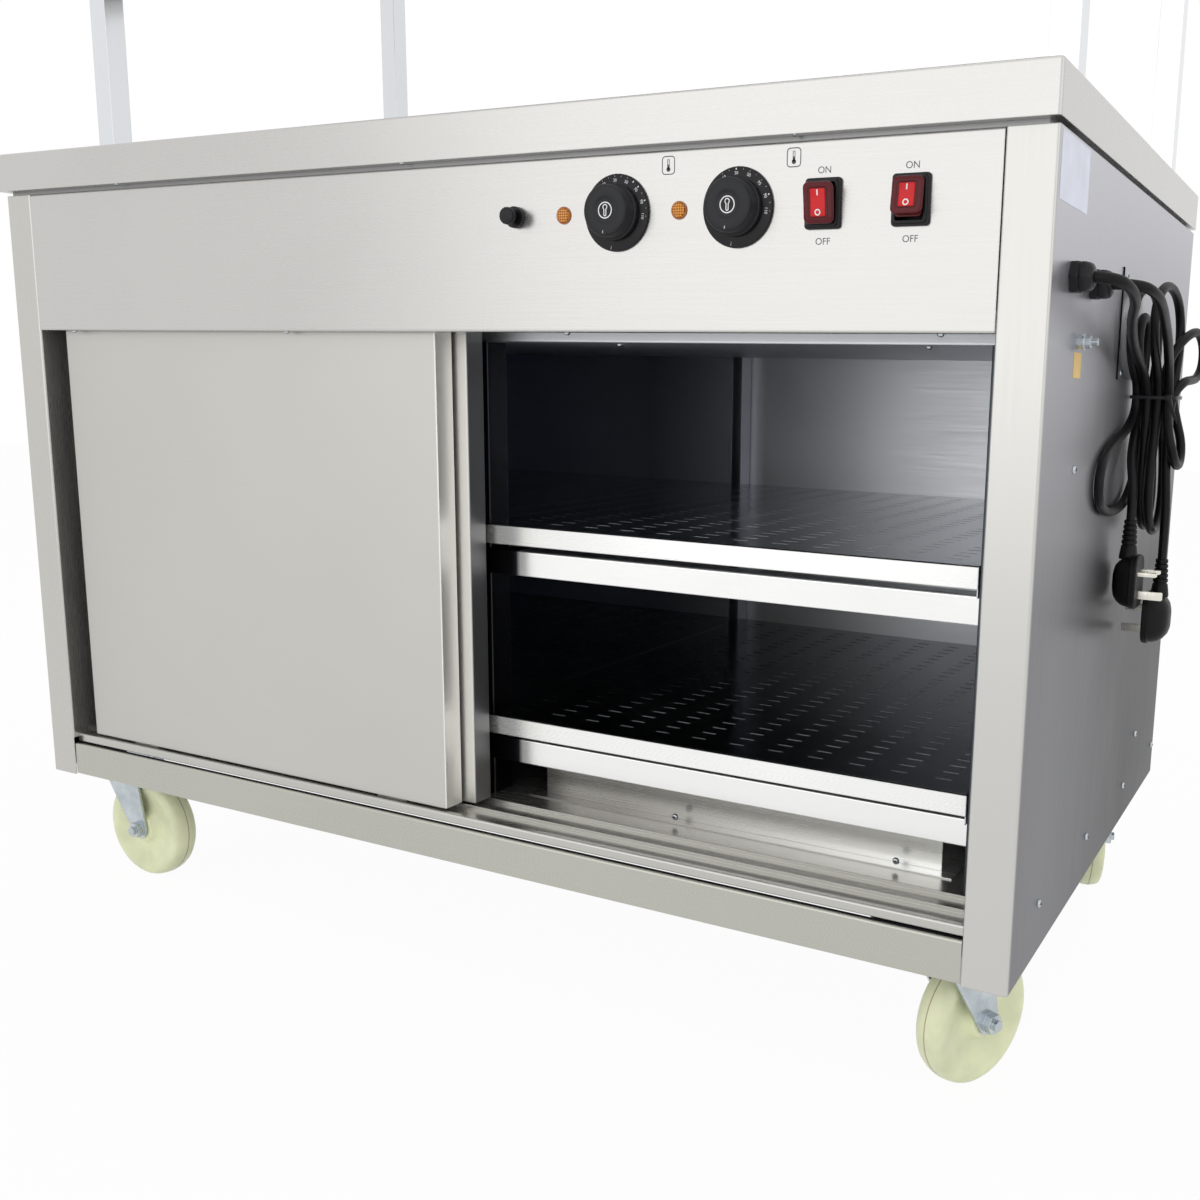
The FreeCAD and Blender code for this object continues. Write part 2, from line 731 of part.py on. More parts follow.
def bottom_rail():
    face = depth(rail_setback)
    low = cabinet_bottom + rail_lift
    high = low + rail_height
    path = [(face + rail_return, high), (face, high), (face, low), (face + rail_return, low)]
    width = opening_half - clearance
    keep("bottom_rail", run_of_section("bottom_rail", folded(path, gauge, 1), -width, width))


def castor_channels():
    """Channels under the floor that the castor plates are bolted to."""
    body = new_body("castor_channel")
    sketch = sketch_on(body, "XZ_Plane", "channel_section", -(depth(track_lip_depth) + gauge + clearance))
    left = castor_reach - channel_width / 2
    right = castor_reach + channel_width / 2
    path = [(left, floor_under), (left, castor_height), (right, castor_height), (right, floor_under)]
    outline(sketch, folded(path, channel_gauge, 1))
    start = depth(track_lip_depth) + gauge + clearance
    pad(body, sketch, rear_plane - gauge * 2 - clearance - start, backwards=True)
    keep("castor_channels", group("castor_channels", [body, mirrored("castor_channel_left", body)]))


def knob_places():
    return knob_place, knob_place + control_pitch


def lamp_places():
    return lamp_place, lamp_place + control_pitch


def switch_places():
    return switch_place, switch_place + switch_pitch


def control_fascia():
    path = [(depth(fascia_top_return), body_top), (front_plane, body_top), (front_plane, fascia_bottom),
            (depth(fascia_bottom_return), fascia_bottom)]
    width = opening_half - clearance
    body = run_of_section("control_fascia", folded(path, gauge, 1), -width, width)
    holes = sketch_on(body, "XZ_Plane", "fascia_holes", -front_plane)
    for place in knob_places():
        circle(holes, (place, control_height), spindle_diameter + spindle_hole_gap * 2)
    for place in lamp_places():
        circle(holes, (place, control_height), lamp_diameter)
    circle(holes, (reset_place, control_height), reset_neck_diameter + clearance * 2)
    for place in switch_places():
        rectangle(holes, place - switch_body_width / 2 - clearance, place + switch_body_width / 2 + clearance,
                  control_height - switch_body_height / 2 - clearance,
                  control_height + switch_body_height / 2 + clearance)
    pocket(body, holes, gauge * 2)
    keep("control_fascia", body)


def door_track():
    """Double top track: three legs with lips that the glide heads run on."""
    width = opening_half - clearance
    lip = track_lip
    section = []
    web = track_top - track_wall
    lip_upper = track_leg_bottom + track_wall
    for index in range(2):
        near = depth(door_setback) + door_pitch * index - track_clearance
        far = near + door_thickness + track_clearance * 2
        if index == 0:
            section.append((near - track_wall, track_top))
            section.append((near - track_wall, track_leg_bottom))
        section += [(near + lip, track_leg_bottom), (near + lip, lip_upper), (near, lip_upper), (near, web),
                    (far, web), (far, lip_upper), (far - lip, lip_upper), (far - lip, track_leg_bottom)]
        if index == 1:
            section.append((far + track_wall, track_leg_bottom))
            section.append((far + track_wall, track_top))
    keep("door_track", run_of_section("door_track", section, -width, width))


def electrics_tray():
    width = opening_half - clearance
    front = depth(door_setback - track_clearance - track_wall)
    back = depth(ceiling_beam_depth) - clearance
    path = [(front, track_top), (back, track_top), (back, track_top + tray_rise)]
    keep("electrics_tray", run_of_section("electrics_tray", folded(path, gauge, 1), -width, width))


def ceiling_lining():
    """Ceiling of the heated space, folded up at the front into its beam."""
    path = [(depth(ceiling_beam_depth), ceiling_height + ceiling_beam_height),
            (depth(ceiling_beam_depth), ceiling_height), (back_face + gauge, ceiling_height)]
    width = lining_half + gauge
    keep("ceiling_lining", run_of_section("ceiling_lining", folded(path, gauge, 1), -width, width))


def shelf_supports():
    """Two channel uprights in the middle and an angle rail at each end of each board half."""
    half = upright_width / 2
    front = depth(ceiling_beam_depth)
    rear = back_face
    uprights = []
    for name, near, far in (("upright_front", front, front + upright_depth),
                            ("upright_rear", rear, rear - upright_depth)):
        path = [(-half, far), (-half, near), (half, near), (half, far)]
        side = 1 if float(far) > float(near) else -1
        uprights.append(upright_of_section(name, folded(path, gauge, side), floor_top, ceiling_height))
    rails = []
    for level, shelf_top in (("upper", upper_shelf_top), ("lower", lower_shelf_top)):
        ledge = shelf_top - shelf_side_flange
        for end, near, far in (("front", depth(rail_face_depth), depth(rail_face_depth) + rail_ledge),
                               ("rear", rear - rail_ledge, rear)):
            face, back = (near, far) if end == "front" else (far, near)
            path = [(face, ledge - rail_face_height), (face, ledge), (back, ledge)]
            side = -1 if end == "front" else 1
            name = "%s_%s_rail" % (level, end)
            right = run_of_section(name, folded(path, gauge, side), half, lining_half)
            rails += [right, mirrored(name + "_left", right)]
    keep("shelf_supports", group("shelf_supports", uprights + rails))


def shelf_board(name, top):
    """Half board: flanged sheet with staggered slots and a notch round the upright."""
    near = shelf_seam / 2
    far = lining_half - shelf_end_gap
    front = depth(shelf_front_depth)
    body = new_body(name)
    section = sketch_on(body, "XZ_Plane", name + "_section", -front)
    low = top - shelf_side_flange
    outline(section, folded([(near, low), (near, top), (far, top), (far, low)], gauge, -1))
    length = back_face - clearance - front
    pad(body, section, length, backwards=True)
    flange = sketch_on(body, "XZ_Plane", name + "_flange", -front)
    rectangle(flange, near + gauge, far - gauge, top - shelf_front_flange, top - gauge / 2)
    pad(body, flange, gauge, backwards=True)
    trim = sketch_on(body, "XZ_Plane", name + "_trim", -front)
    rectangle(trim, near - cut_overrun, far + cut_overrun, low - cut_overrun, top - shelf_front_flange)
    pocket(body, trim, rail_face_depth - shelf_front_depth)
    notch = sketch_on(body, "XY_Plane", name + "_notch", top)
    reach = upright_width / 2 + clearance
    rectangle(notch, -cut_overrun, reach, depth(ceiling_beam_depth) - clearance,
              depth(ceiling_beam_depth) + upright_depth + clearance)
    rectangle(notch, -cut_overrun, reach, back_face - upright_depth - clearance, back_face + cut_overrun)
    pocket(body, notch, shelf_side_flange + cut_overrun)
    pitch_x = (far - near - slot_margin_x * 2 - slot_length) * 2 / (slot_columns * 2 - 1)
    pitch_y = (length - slot_margin_y * 2 - slot_width) / (slot_rows * 2 - 1)
    slots = sketch_on(body, "XY_Plane", name + "_slots", top)
    left = near + slot_margin_x
    low_y = front + slot_margin_y
    rectangle(slots, left, left + slot_length, low_y, low_y + slot_width)
    shifted = left + pitch_x / 2
    rectangle(slots, shifted, shifted + slot_length, low_y + pitch_y, low_y + pitch_y + slot_width)
    first = pocket(body, slots, gauge * 2)
    pattern = body.newObject("PartDesign::MultiTransform", name + "_pattern")
    rows = body.newObject("PartDesign::LinearPattern", name + "_rows")
    columns = body.newObject("PartDesign::LinearPattern", name + "_columns")
    for repeat, axis, length_all, count in ((columns, "H_Axis", pitch_x * (slot_columns - 1), slot_columns),
                                            (rows, "V_Axis", pitch_y * 2 * (slot_rows - 1), slot_rows)):
        repeat.Direction = (slots, [axis])
        bind(repeat, "Length", length_all)
        repeat.Occurrences = count
    pattern.Originals = [first]
    pattern.Transformations = [columns, rows]
    body.Tip = pattern
    return body


def shelves():
    for level, top in (("upper", upper_shelf_top), ("lower", lower_shelf_top)):
        right = shelf_board(level + "_board_right", top)
        left = mirrored(level + "_board_left", right)
        keep(level + "_shelf_boards", group(level + "_shelf_boards", [right, left]))


def heater_covers():
    """Flanged lids over the lower elements, with slots that let the heat rise."""
    body = new_body("heater_cover")
    front = depth(cover_front)
    back = back_face - cover_rear_gap
    flange = sketch_on(body, "XY_Plane", "cover_flange_plan", floor_top)
    rectangle(flange, cover_inner_edge, cover_outer_edge, front - cover_flange, back)
    pad(body, flange, gauge)
    lid = sketch_on(body, "XY_Plane", "cover_lid", floor_top)
    rectangle(lid, cover_inner_edge + cover_flange, cover_outer_edge - cover_flange, front,
              back - cover_flange)
    pad(body, lid, cover_height)
    hollow = sketch_on(body, "XY_Plane", "cover_hollow", floor_top)
    inset = cover_flange + gauge
    rectangle(hollow, cover_inner_edge + inset, cover_outer_edge - inset, front + gauge, back - inset)
    pocket(body, hollow, cover_height - gauge, backwards=True)
    slots = sketch_on(body, "XY_Plane", "cover_slots", floor_top + cover_height)
    middle = (cover_inner_edge + cover_outer_edge) / 2
    for index in range(cover_slot_count):
        low = front + cover_slot_pitch * (index + 1)
        rectangle(slots, middle - cover_slot_length / 2, middle + cover_slot_length / 2, low,
                  low + cover_slot_width)
    pocket(body, slots, gauge * 2)
    keep("heater_covers", group("heater_covers", [body, mirrored("heater_cover_left", body)]))


def heating_elements():
    """Hairpin tube elements with the brackets that stand on the floor and hold them."""
    middle = (cover_inner_edge + cover_outer_edge) / 2
    level = floor_top + element_height
    front = depth(element_front)
    back = back_face - element_rear_gap
    bend = element_spread / 2
    tube = document.addObject("Part::Feature", "element_tube")
    left_back = vector(middle - bend, back, level)
    left_front = vector(middle - bend, front + bend, level)
    tip = vector(middle, front, level)
    right_front = vector(middle + bend, front + bend, level)
    right_back = vector(middle + bend, back, level)
    path = Part.Wire([Part.makeLine(left_back, left_front), Part.Arc(left_front, tip, right_front).toShape(),
                      Part.makeLine(right_front, right_back)])
    ring = Part.Wire([Part.makeCircle(float(element_diameter) / 2, left_back, vector(0, -1, 0))])
    tube.Shape = path.makePipeShell([ring], True, False)
    pieces = [tube]
    for index, place in enumerate((front + bend + bracket_setback, back - bracket_setback)):
        plate = box("bracket_plate_%d" % index, (middle - bracket_width / 2, place, floor_top),
                    (middle + bracket_width / 2, place + gauge, floor_top + bracket_height))
        holes = [cylinder("bracket_hole_%d_%d" % (index, way), element_diameter + clearance * 2,
                          gauge + cut_overrun * 2, (middle + bend * way, place - cut_overrun, level),
                          **ALONG_Y)
                 for way in (-1, 1)]
        pieces.append(cut("bracket_%d" % index, plate, fuse("bracket_holes_%d" % index, holes)))
    right = group("elements_right", pieces)
    keep("heating_elements", group("heating_elements", [right, mirrored("elements_left", right)]))


def worktop():
    """Pressed top with its apron and the return along the bottom edge."""
    body = new_body("worktop")
    half_x = worktop_width / 2
    half_y = worktop_depth / 2
    plan = sketch_on(body, "XY_Plane", "worktop_plan", apron_bottom)
    corner = worktop_corner
    outline(plan, [(-half_x, -half_y, corner), (half_x, -half_y, corner), (half_x, half_y, corner),
                   (-half_x, half_y, corner)])
    block = pad(body, plan, apron_height)
    document.recompute()
    edges = ["Edge%d" % (index + 1) for index, edge in enumerate(block.Shape.Edges)
             if edge.BoundBox.ZMin > float(worktop_height) - float(clearance)]
    rim = body.newObject("PartDesign::Fillet", "worktop_rim")
    rim.Base = (block, edges)
    bind(rim, "Radius", bend_radius + gauge)
    hollow = sketch_on(body, "XY_Plane", "worktop_hollow", apron_bottom + gauge)
    rectangle(hollow, gauge - half_x, half_x - gauge, gauge - half_y, half_y - gauge)
    pocket(body, hollow, apron_height - gauge * 2, backwards=True)
    mouth = sketch_on(body, "XY_Plane", "worktop_mouth", apron_bottom)
    rectangle(mouth, apron_return - half_x, half_x - apron_return, apron_return - half_y,
              half_y - apron_return)
    pocket(body, mouth, gauge * 2, backwards=True)
    keep("worktop", body)


def top_frame():
    """Ring of tube that carries the worktop on the side panels."""
    body = new_body("top_frame")
    outer_x = worktop_width / 2 - apron_return - clearance
    outer_y = worktop_depth / 2 - apron_return - clearance
    ring = sketch_on(body, "XY_Plane", "frame_plan", body_top)
    rectangle(ring, -outer_x, outer_x, -outer_y, outer_y)
    rectangle(ring, frame_section - outer_x, outer_x - frame_section, frame_section - outer_y,
              outer_y - frame_section)
    pad(body, ring, worktop_height - gauge - body_top)
    keep("top_frame", body)


def worktop_heater():
    top = worktop_height - gauge - clearance
    mat = box("heater_mat", (-heater_width / 2, -heater_depth / 2, top - heater_thickness),
              (heater_width / 2, heater_depth / 2, top))
    keep("worktop_heater", mat)


def gantry():
    """Four square posts, the canopy tray on them and the lamp trough under it."""
    half = gantry_section / 2
    posts = []
    top = worktop_height + gantry_height
    for side in (-1, 1):
        for row, place in enumerate((gantry_front, gantry_back)):
            x = gantry_reach * side
            name = "post_%s_%d" % ("right" if side > 0 else "left", row)
            tube = box(name + "_outer", (x - half, place - half, worktop_height),
                       (x + half, place + half, top))
            bore = half - gantry_wall
            hollow = box(name + "_bore", (x - bore, place - bore, worktop_height - cut_overrun),
                         (x + bore, place + bore, top + cut_overrun))
            posts.append(cut(name, tube, hollow))
    keep("gantry_posts", group("gantry_posts", posts))
    canopy = new_body("canopy")
    half_x = gantry_reach + canopy_overhang
    near = gantry_front - canopy_overhang
    far = gantry_back + canopy_overhang
    plan = sketch_on(canopy, "XY_Plane", "canopy_plan", top)
    outline(plan, [(-half_x, near, worktop_corner), (half_x, near, worktop_corner),
                   (half_x, far, worktop_corner), (-half_x, far, worktop_corner)])
    pad(canopy, plan, canopy_height)
    hollow = sketch_on(canopy, "XY_Plane", "canopy_hollow", top + gauge)
    rectangle(hollow, gauge - half_x, half_x - gauge, near + gauge, far - gauge)
    pocket(canopy, hollow, canopy_height - gauge * 2, backwards=True)
    mouth = sketch_on(canopy, "XY_Plane", "canopy_mouth", top)
    rectangle(mouth, canopy_return - half_x, half_x - canopy_return, near + canopy_return,
              far - canopy_return)
    pocket(canopy, mouth, gauge * 2, backwards=True)
    keep("canopy", canopy)
    middle = (gantry_front + gantry_back) / 2
    back = middle + trough_depth / 2
    front = middle - trough_depth / 2
    ceiling = top + canopy_height - gauge
    path = [(front, ceiling - trough_height), (front, ceiling), (back, ceiling),
            (back, ceiling - trough_height)]
    trough = run_of_section("lamp_trough_fold", folded(path, gauge, -1), -trough_width / 2, trough_width / 2)
    lamps = []
    for way in (-1, 1):
        place = middle + lamp_tube_spread / 2 * way
        level = ceiling - gauge - clearance - lamp_tube_diameter / 2
        length = trough_width - gantry_section * 2
        lamps.append(cylinder("lamp_tube_%d" % (way + 1), lamp_tube_diameter, length,
                              (-length / 2, place, level), **ALONG_X))
    keep("lamp_trough", group("lamp_trough", [trough] + lamps))


def dial_bezels():
    plates = []
    for index, place in enumerate(knob_places()):
        disc = cylinder("bezel_disc_%d" % index, bezel_diameter, bezel_thickness,
                        (place, front_plane, control_height), **TOWARDS_FRONT)
        bore = cylinder("bezel_bore_%d" % index, spindle_diameter + spindle_hole_gap * 2,
                        bezel_thickness + cut_overrun * 2,
                        (place, front_plane + cut_overrun, control_height), **TOWARDS_FRONT)
        plates.append(cut("bezel_%d" % index, disc, bore))
    keep("dial_bezels", group("dial_bezels", plates))


def knob(name, place):
    """Turned knob with a wide skirt, a dished face and its spindle."""
    body = new_body(name)
    sketch = sketch_on(body, "YZ_Plane", name + "_half_section")
    skirt = knob_skirt_diameter / 2
    face = knob_face_diameter / 2
    dish = knob_dish_diameter / 2
    stem = spindle_diameter / 2
    start = -(bezel_thickness + clearance)
    top = start - knob_height
    outline(sketch, [(spindle_length, 0), (spindle_length, stem), (start, stem), (start, skirt),
                     (start - knob_skirt_height, skirt), (top, face), (top, dish),
                     (top + knob_dish_depth, dish), (top + knob_dish_depth, 0)])
    turn = body.newObject("PartDesign::Revolution", name + "_turned")
    turn.Profile = sketch
    turn.ReferenceAxis = (sketch, ["H_Axis"])
    turn.Angle = 360
    set_place(body, place, front_plane, control_height)
    keep(name, body)


def thermostats():
    """Capillary thermostats on the tray, with a bore for the spindle and a sensing bulb."""
    pieces = []
    back = depth(gauge + clearance)
    half = thermostat_width / 2
    for index, place in enumerate(knob_places()):
        case = box("thermostat_case_%d" % index, (place - half, back, track_top + gauge),
                   (place + half, back + thermostat_depth, control_height + half))
        bore = cylinder("thermostat_bore_%d" % index, spindle_diameter + spindle_fit * 2,
                        spindle_length + cut_overrun, (place, front_plane, control_height), **ALONG_Y)
        bulb_y = back + thermostat_depth + bulb_diameter / 2
        bulb = cylinder("bulb_%d" % index, bulb_diameter, bulb_length,
                        (place - bulb_length / 2, bulb_y, track_top + gauge + bulb_diameter / 2), **ALONG_X)
        pieces += [cut("thermostat_%d" % index, case, bore), bulb]
    keep("thermostats", group("thermostats", pieces))


def pilot_lamps():
    pieces = []
    for index, place in enumerate(lamp_places()):
        flange = cylinder("lamp_flange_%d" % index, lamp_flange, lamp_proud / 2,
                          (place, front_plane, control_height), **TOWARDS_FRONT)
        dome = cylinder("lamp_dome_%d" % index, lamp_diameter, lamp_proud,
                        (place, front_plane, control_height), **TOWARDS_FRONT)
        barrel = cylinder("lamp_barrel_%d" % index, lamp_diameter - clearance, lamp_length,
                          (place, front_plane, control_height), **ALONG_Y)
        pieces.append(fuse("pilot_lamp_%d" % index, [flange, dome, barrel]))
    keep("pilot_lamps", group("pilot_lamps", pieces))


def thermal_cutout():
    """Cut-out body behind the fascia, its threaded neck and the nut in front."""
    place = reset_place
    back = depth(gauge + clearance)
    half = cutout_body_width / 2
    body = box("cutout_case", (place - half, back, control_height - half),
               (place + half, back + cutout_body_depth, control_height + half))
    neck = cylinder("cutout_neck", reset_neck_diameter, reset_nut_height + gauge + clearance * 2,
                    (place, back + clearance, control_height), **TOWARDS_FRONT)
    nut = cylinder("cutout_nut", reset_nut_diameter, reset_nut_height,
                   (place, front_plane, control_height), **TOWARDS_FRONT)
    bore = cylinder("cutout_bore", reset_bore_diameter, reset_nut_height + cutout_body_depth + cut_overrun,
                    (place, depth(cutout_body_depth), control_height), **TOWARDS_FRONT)
    keep("thermal_cutout", cut("thermal_cutout", fuse("cutout_solid", [body, neck, nut]), bore))


def reset_button():
    place = reset_place
    face = front_plane - reset_nut_height - reset_travel - clearance
    cap = cylinder("reset_cap", reset_cap_diameter, reset_cap_height, (place, face, control_height),
                   **TOWARDS_FRONT)
    stem = cylinder("reset_stem", reset_bore_diameter - spindle_fit * 2, reset_stem_length,
                    (place, face, control_height), **ALONG_Y)
    keep("reset_button", fuse("reset_button", [cap, stem]))


def switch_frames():
    pieces = []
    for index, place in enumerate(switch_places()):
        flange = box("switch_flange_%d" % index,
                     (place - switch_width / 2, front_plane - switch_proud,
                      control_height - switch_height / 2),
                     (place + switch_width / 2, front_plane, control_height + switch_height / 2))
        shell = box("switch_shell_%d" % index,
                    (place - switch_body_width / 2, front_plane, control_height - switch_body_height / 2),
                    (place + switch_body_width / 2, depth(switch_body_depth),
                     control_height + switch_body_height / 2))
        well = box("switch_well_%d" % index,
                   (place - rocker_width / 2 - clearance, front_plane - switch_proud - cut_overrun,
                    control_height - rocker_length / 2 - clearance),
                   (place + rocker_width / 2 + clearance, depth(rocker_depth + rocker_rise),
                    control_height + rocker_length / 2 + clearance))
        pieces.append(cut("switch_frame_%d" % index, fuse("switch_solid_%d" % index, [flange, shell]), well))
    keep("switch_frames", group("switch_frames", pieces))


def rocker(name, place, pressed_up):
    """Rocker with two sloping faces, drawn as it lies at rest with one end pressed in."""
    body = new_body(name)
    sketch = sketch_on(body, "YZ_Plane", name + "_section", -rocker_width / 2)
    half = rocker_length / 2 - rocker_rise / 2
    low = -switch_proud - rocker_rise / 2
    high = low - rocker_rise
    ends = (low, high) if pressed_up else (high, low)
    outline(sketch, [(rocker_depth - rocker_rise, -half / 2), (rocker_depth - rocker_rise, half / 2),
                     (0, half), (ends[0], half),
                     (-switch_proud - rocker_rise * rocker_middle_share, 0), (ends[1], -half),
                     (0, -half)])
    pad(body, sketch, rocker_width)
    set_place(body, place, front_plane, control_height)
    keep(name, body)


def terminal_block():
    right = opening_half - frame_section
    back = depth(ceiling_beam_depth) - gauge - bend_radius - clearance * 2
    block = box("terminal_box", (right - terminal_width, back - terminal_depth, track_top + gauge),
                (right, back, track_top + gauge + terminal_height))
    keep("terminal_block", block)


def door(name, offset, row):
    """Outer skin of a sliding door and the liner that closes its back."""
    near = depth(door_setback) + door_pitch * row
    far = near + door_thickness
    middle = offset
    left = middle - door_width / 2
    right = middle + door_width / 2
    low = floor_top + door_lift
    body = new_body(name + "_skin")
    plan = sketch_on(body, "XY_Plane", name + "_plan", low)
    radius = door_edge_radius
    outline(plan, [(left, near, radius), (right, near, radius), (right, far), (left, far)])
    pad(body, plan, door_top - low)
    hollow = sketch_on(body, "XZ_Plane", name + "_hollow", -far)
    rectangle(hollow, left + liner_inset, right - liner_inset, low + liner_inset, door_top - liner_inset)
    pocket(body, hollow, door_thickness - gauge, backwards=True)
    keep(name + "_skin", body)
    inset = liner_inset + clearance
    liner = box(name + "_liner_sheet", (left + inset, near + gauge + clearance, low + inset),
                (right - inset, far - liner_depth, door_top - inset))
    keep(name + "_liner", liner)
    glides = []
    centre = near + door_thickness / 2
    for index, place in enumerate((left + glide_inset, right - glide_inset - glide_length)):
        lip_upper = track_leg_bottom + track_wall + clearance
        stem = box("%s_stem_%d" % (name, index), (place, centre - glide_stem / 2, door_top),
                   (place + glide_length, centre + glide_stem / 2, lip_upper + glide_head_height / 2))
        head = box("%s_head_%d" % (name, index), (place, centre - glide_head / 2, lip_upper),
                   (place + glide_length, centre + glide_head / 2, lip_upper + glide_head_height))
        guide = box("%s_guide_%d" % (name, index), (place, centre - glide_stem / 2, low - guide_drop),
                    (place + glide_length, centre + glide_stem / 2, low))
        glides += [fuse("%s_hanger_%d" % (name, index), [stem, head]), guide]
    keep(name + "_glides", group(name + "_glides", glides))


def castor(name, x, y, swivel):
    """Fork with its axle bolt, and the wheel, turned about the kingpin to their place at rest."""
    crown_top = castor_height - plate_thickness - race_height - clearance
    fork_inside = wheel_hub_width / 2 + fork_gap
    fork_outside = fork_inside + fork_wall
    body = new_body(name + "_fork_sheet")
    side_view = sketch_on(body, "XZ_Plane", name + "_fork_view")
    half = fork_crown_width / 2
    foot = vector(castor_trail, wheel_radius, 0)
    rear_corner = vector(-half, crown_top, 0)
    front_corner = vector(half + fork_foot_radius / 2, crown_top, 0)
    fork_outline(side_view, rear_corner, front_corner, foot)
    pad(body, side_view, fork_outside * 2, middle=True)
    gap = sketch_on(body, "XZ_Plane", name + "_fork_gap")
    rectangle(gap, -fork_crown_width, castor_trail + fork_crown_width, 0, crown_top - fork_wall)
    opening = pocket(body, gap, fork_inside * 2)
    opening.Midplane = True
    bore = sketch_on(body, "XY_Plane", name + "_fork_bore", crown_top)
    circle(bore, (0, 0), kingpin_diameter + axle_fit * 2)
    pocket(body, bore, fork_wall * 2)
    eye = sketch_on(body, "XZ_Plane", name + "_fork_eye", fork_outside)
    circle(eye, (castor_trail, wheel_radius), axle_diameter + axle_fit)
    pocket(body, eye, fork_outside * 2)
    shank = cylinder(name + "_shank", axle_diameter, (fork_outside + hex_height + axle_stub) * 2,
                     (castor_trail, -(fork_outside + hex_height + axle_stub), wheel_radius), **ALONG_Y)
    head = hexagon(name + "_head", hex_diameter, hex_height,
                   (castor_trail, -(fork_outside + hex_height), wheel_radius), **ALONG_Y)
    nut = hexagon(name + "_nut", hex_diameter, hex_height, (castor_trail, fork_outside, wheel_radius),
                  **ALONG_Y)
    axle = fuse(name + "_axle", [shank, head, nut])
    fork = group(name + "_fork", [body, axle])
    set_place(fork, x, y, 0, angle=swivel)
    keep(name + "_fork", fork)
    wheel = castor_wheel(name + "_wheel")
    reach = vector(castor_trail, 0, 0)
    arm = FreeCAD.Rotation(vector(0, 0, 1), swivel).multVec(reach)
    set_place(wheel, x + castor_trail * (arm.x / reach.x), y + castor_trail * (arm.y / reach.x), wheel_radius,
              angle=swivel)
    keep(name + "_wheel", wheel)


def fork_outline(sketch, rear_corner, front_corner, foot):
    """Side view of a fork: a wide crown that narrows to the round foot at the axle."""
    radius = float(fork_foot_radius)

    def touching(corner, side):
        across = foot.sub(corner)
        turn = math.asin(radius / across.Length) * side
        direction = math.atan2(across.y, across.x) + turn
        run = math.sqrt(across.Length ** 2 - radius ** 2)
        return corner.add(vector(math.cos(direction) * run, math.sin(direction) * run, 0))

    rear_touch = touching(rear_corner, -1)
    front_touch = touching(front_corner, 1)
    bottom = foot.add(vector(0, -radius, 0))
    arc = Part.Arc(rear_touch, bottom, front_touch)
    first = sketch.addGeometry(Part.LineSegment(rear_corner, rear_touch), False)
    second = sketch.addGeometry(arc, False)
    third = sketch.addGeometry(Part.LineSegment(front_touch, front_corner), False)
    last = sketch.addGeometry(Part.LineSegment(front_corner, rear_corner), False)
    for one, end, other, start in ((first, 2, second, 1), (second, 2, third, 1), (third, 2, last, 1),
                                   (last, 2, first, 1)):
        sketch.addConstraint(Sketcher.Constraint("Coincident", one, end, other, start))


def castor_wheel(name):
    """Moulded wheel: rim, thin web and hub with the bore for its axle."""
    body = new_body(name)
    sketch = sketch_on(body, "YZ_Plane", name + "_half_section")
    bore = axle_diameter / 2 + axle_fit
    hub = wheel_hub_diameter / 2
    rim = wheel_radius - wheel_rim
    half = wheel_width / 2
    hub_half = wheel_hub_width / 2
    web = wheel_web / 2
    outline(sketch, [(-hub_half, bore), (hub_half, bore), (hub_half, hub), (web, hub), (web, rim),
                     (half, rim), (half, wheel_radius - wheel_crown), (half - wheel_crown, wheel_radius),
                     (wheel_crown - half, wheel_radius), (-half, wheel_radius - wheel_crown), (-half, rim),
                     (-web, rim), (-web, hub), (-hub_half, hub)])
    turn = body.newObject("PartDesign::Revolution", name + "_turned")
    turn.Profile = sketch
    turn.ReferenceAxis = (sketch, ["H_Axis"])
    turn.Angle = 360
    return body


def castor_plates():
    """Top plates with the upper race and the riveted kingpin."""
    plates = []
    top = castor_height
    under = top - plate_thickness
    for side in (-1, 1):
        for end in (-1, 1):
            x = castor_reach * side
            y = castor_spread * end
            name = "plate_%d_%d" % (side + 1, end + 1)
            plate = box(name + "_sheet", (x - plate_length / 2, y - plate_width / 2, under),
                        (x + plate_length / 2, y + plate_width / 2, top))
            race = cylinder(name + "_race", race_diameter, race_height + plate_thickness / 2,
                            (x, y, under - race_height))
            crown_under = under - race_height - clearance - fork_wall
            pin = cylinder(name + "_pin", kingpin_diameter, top - crown_under + clearance,
                           (x, y, crown_under - clearance))
            head = cylinder(name + "_head", kingpin_head, kingpin_head_height,
                            (x, y, crown_under - clearance - kingpin_head_height))
            solid = fuse(name + "_solid", [plate, race, pin, head])
            holes = [cylinder(name + "_hole_%d_%d" % (a + 1, b + 1), plate_hole_diameter,
                              plate_thickness + cut_overrun * 2,
                              (x + plate_hole_pitch_x / 2 * a, y + plate_hole_pitch_y / 2 * b,
                               under - cut_overrun)) for a in (-1, 1) for b in (-1, 1)]
            plates.append(cut(name, solid, fuse(name + "_holes", holes)))
    keep("castor_plates", group("castor_plates", plates))


def cord_gland(name, place):
    """Hexagon, cap, threaded tail and locknut."""
    outside = body_half
    nut = hexagon(name + "_nut", gland_nut_diameter, gland_nut_height, (outside, place, gland_height),
                  **ALONG_X)
    cap = cylinder(name + "_cap", gland_cap_diameter, gland_cap_height,
                   (outside + gland_nut_height, place, gland_height), **ALONG_X)
    tail = cylinder(name + "_tail", gland_thread_diameter, gland_thread_length + gauge,
                    (outside - gland_thread_length - gauge, place, gland_height), **ALONG_X)
    locknut = hexagon(name + "_locknut", gland_nut_diameter, gland_nut_height / 2,
                      (outside - gauge - gland_nut_height / 2, place, gland_height), **ALONG_X)
    return fuse(name, [nut, cap, tail, locknut])


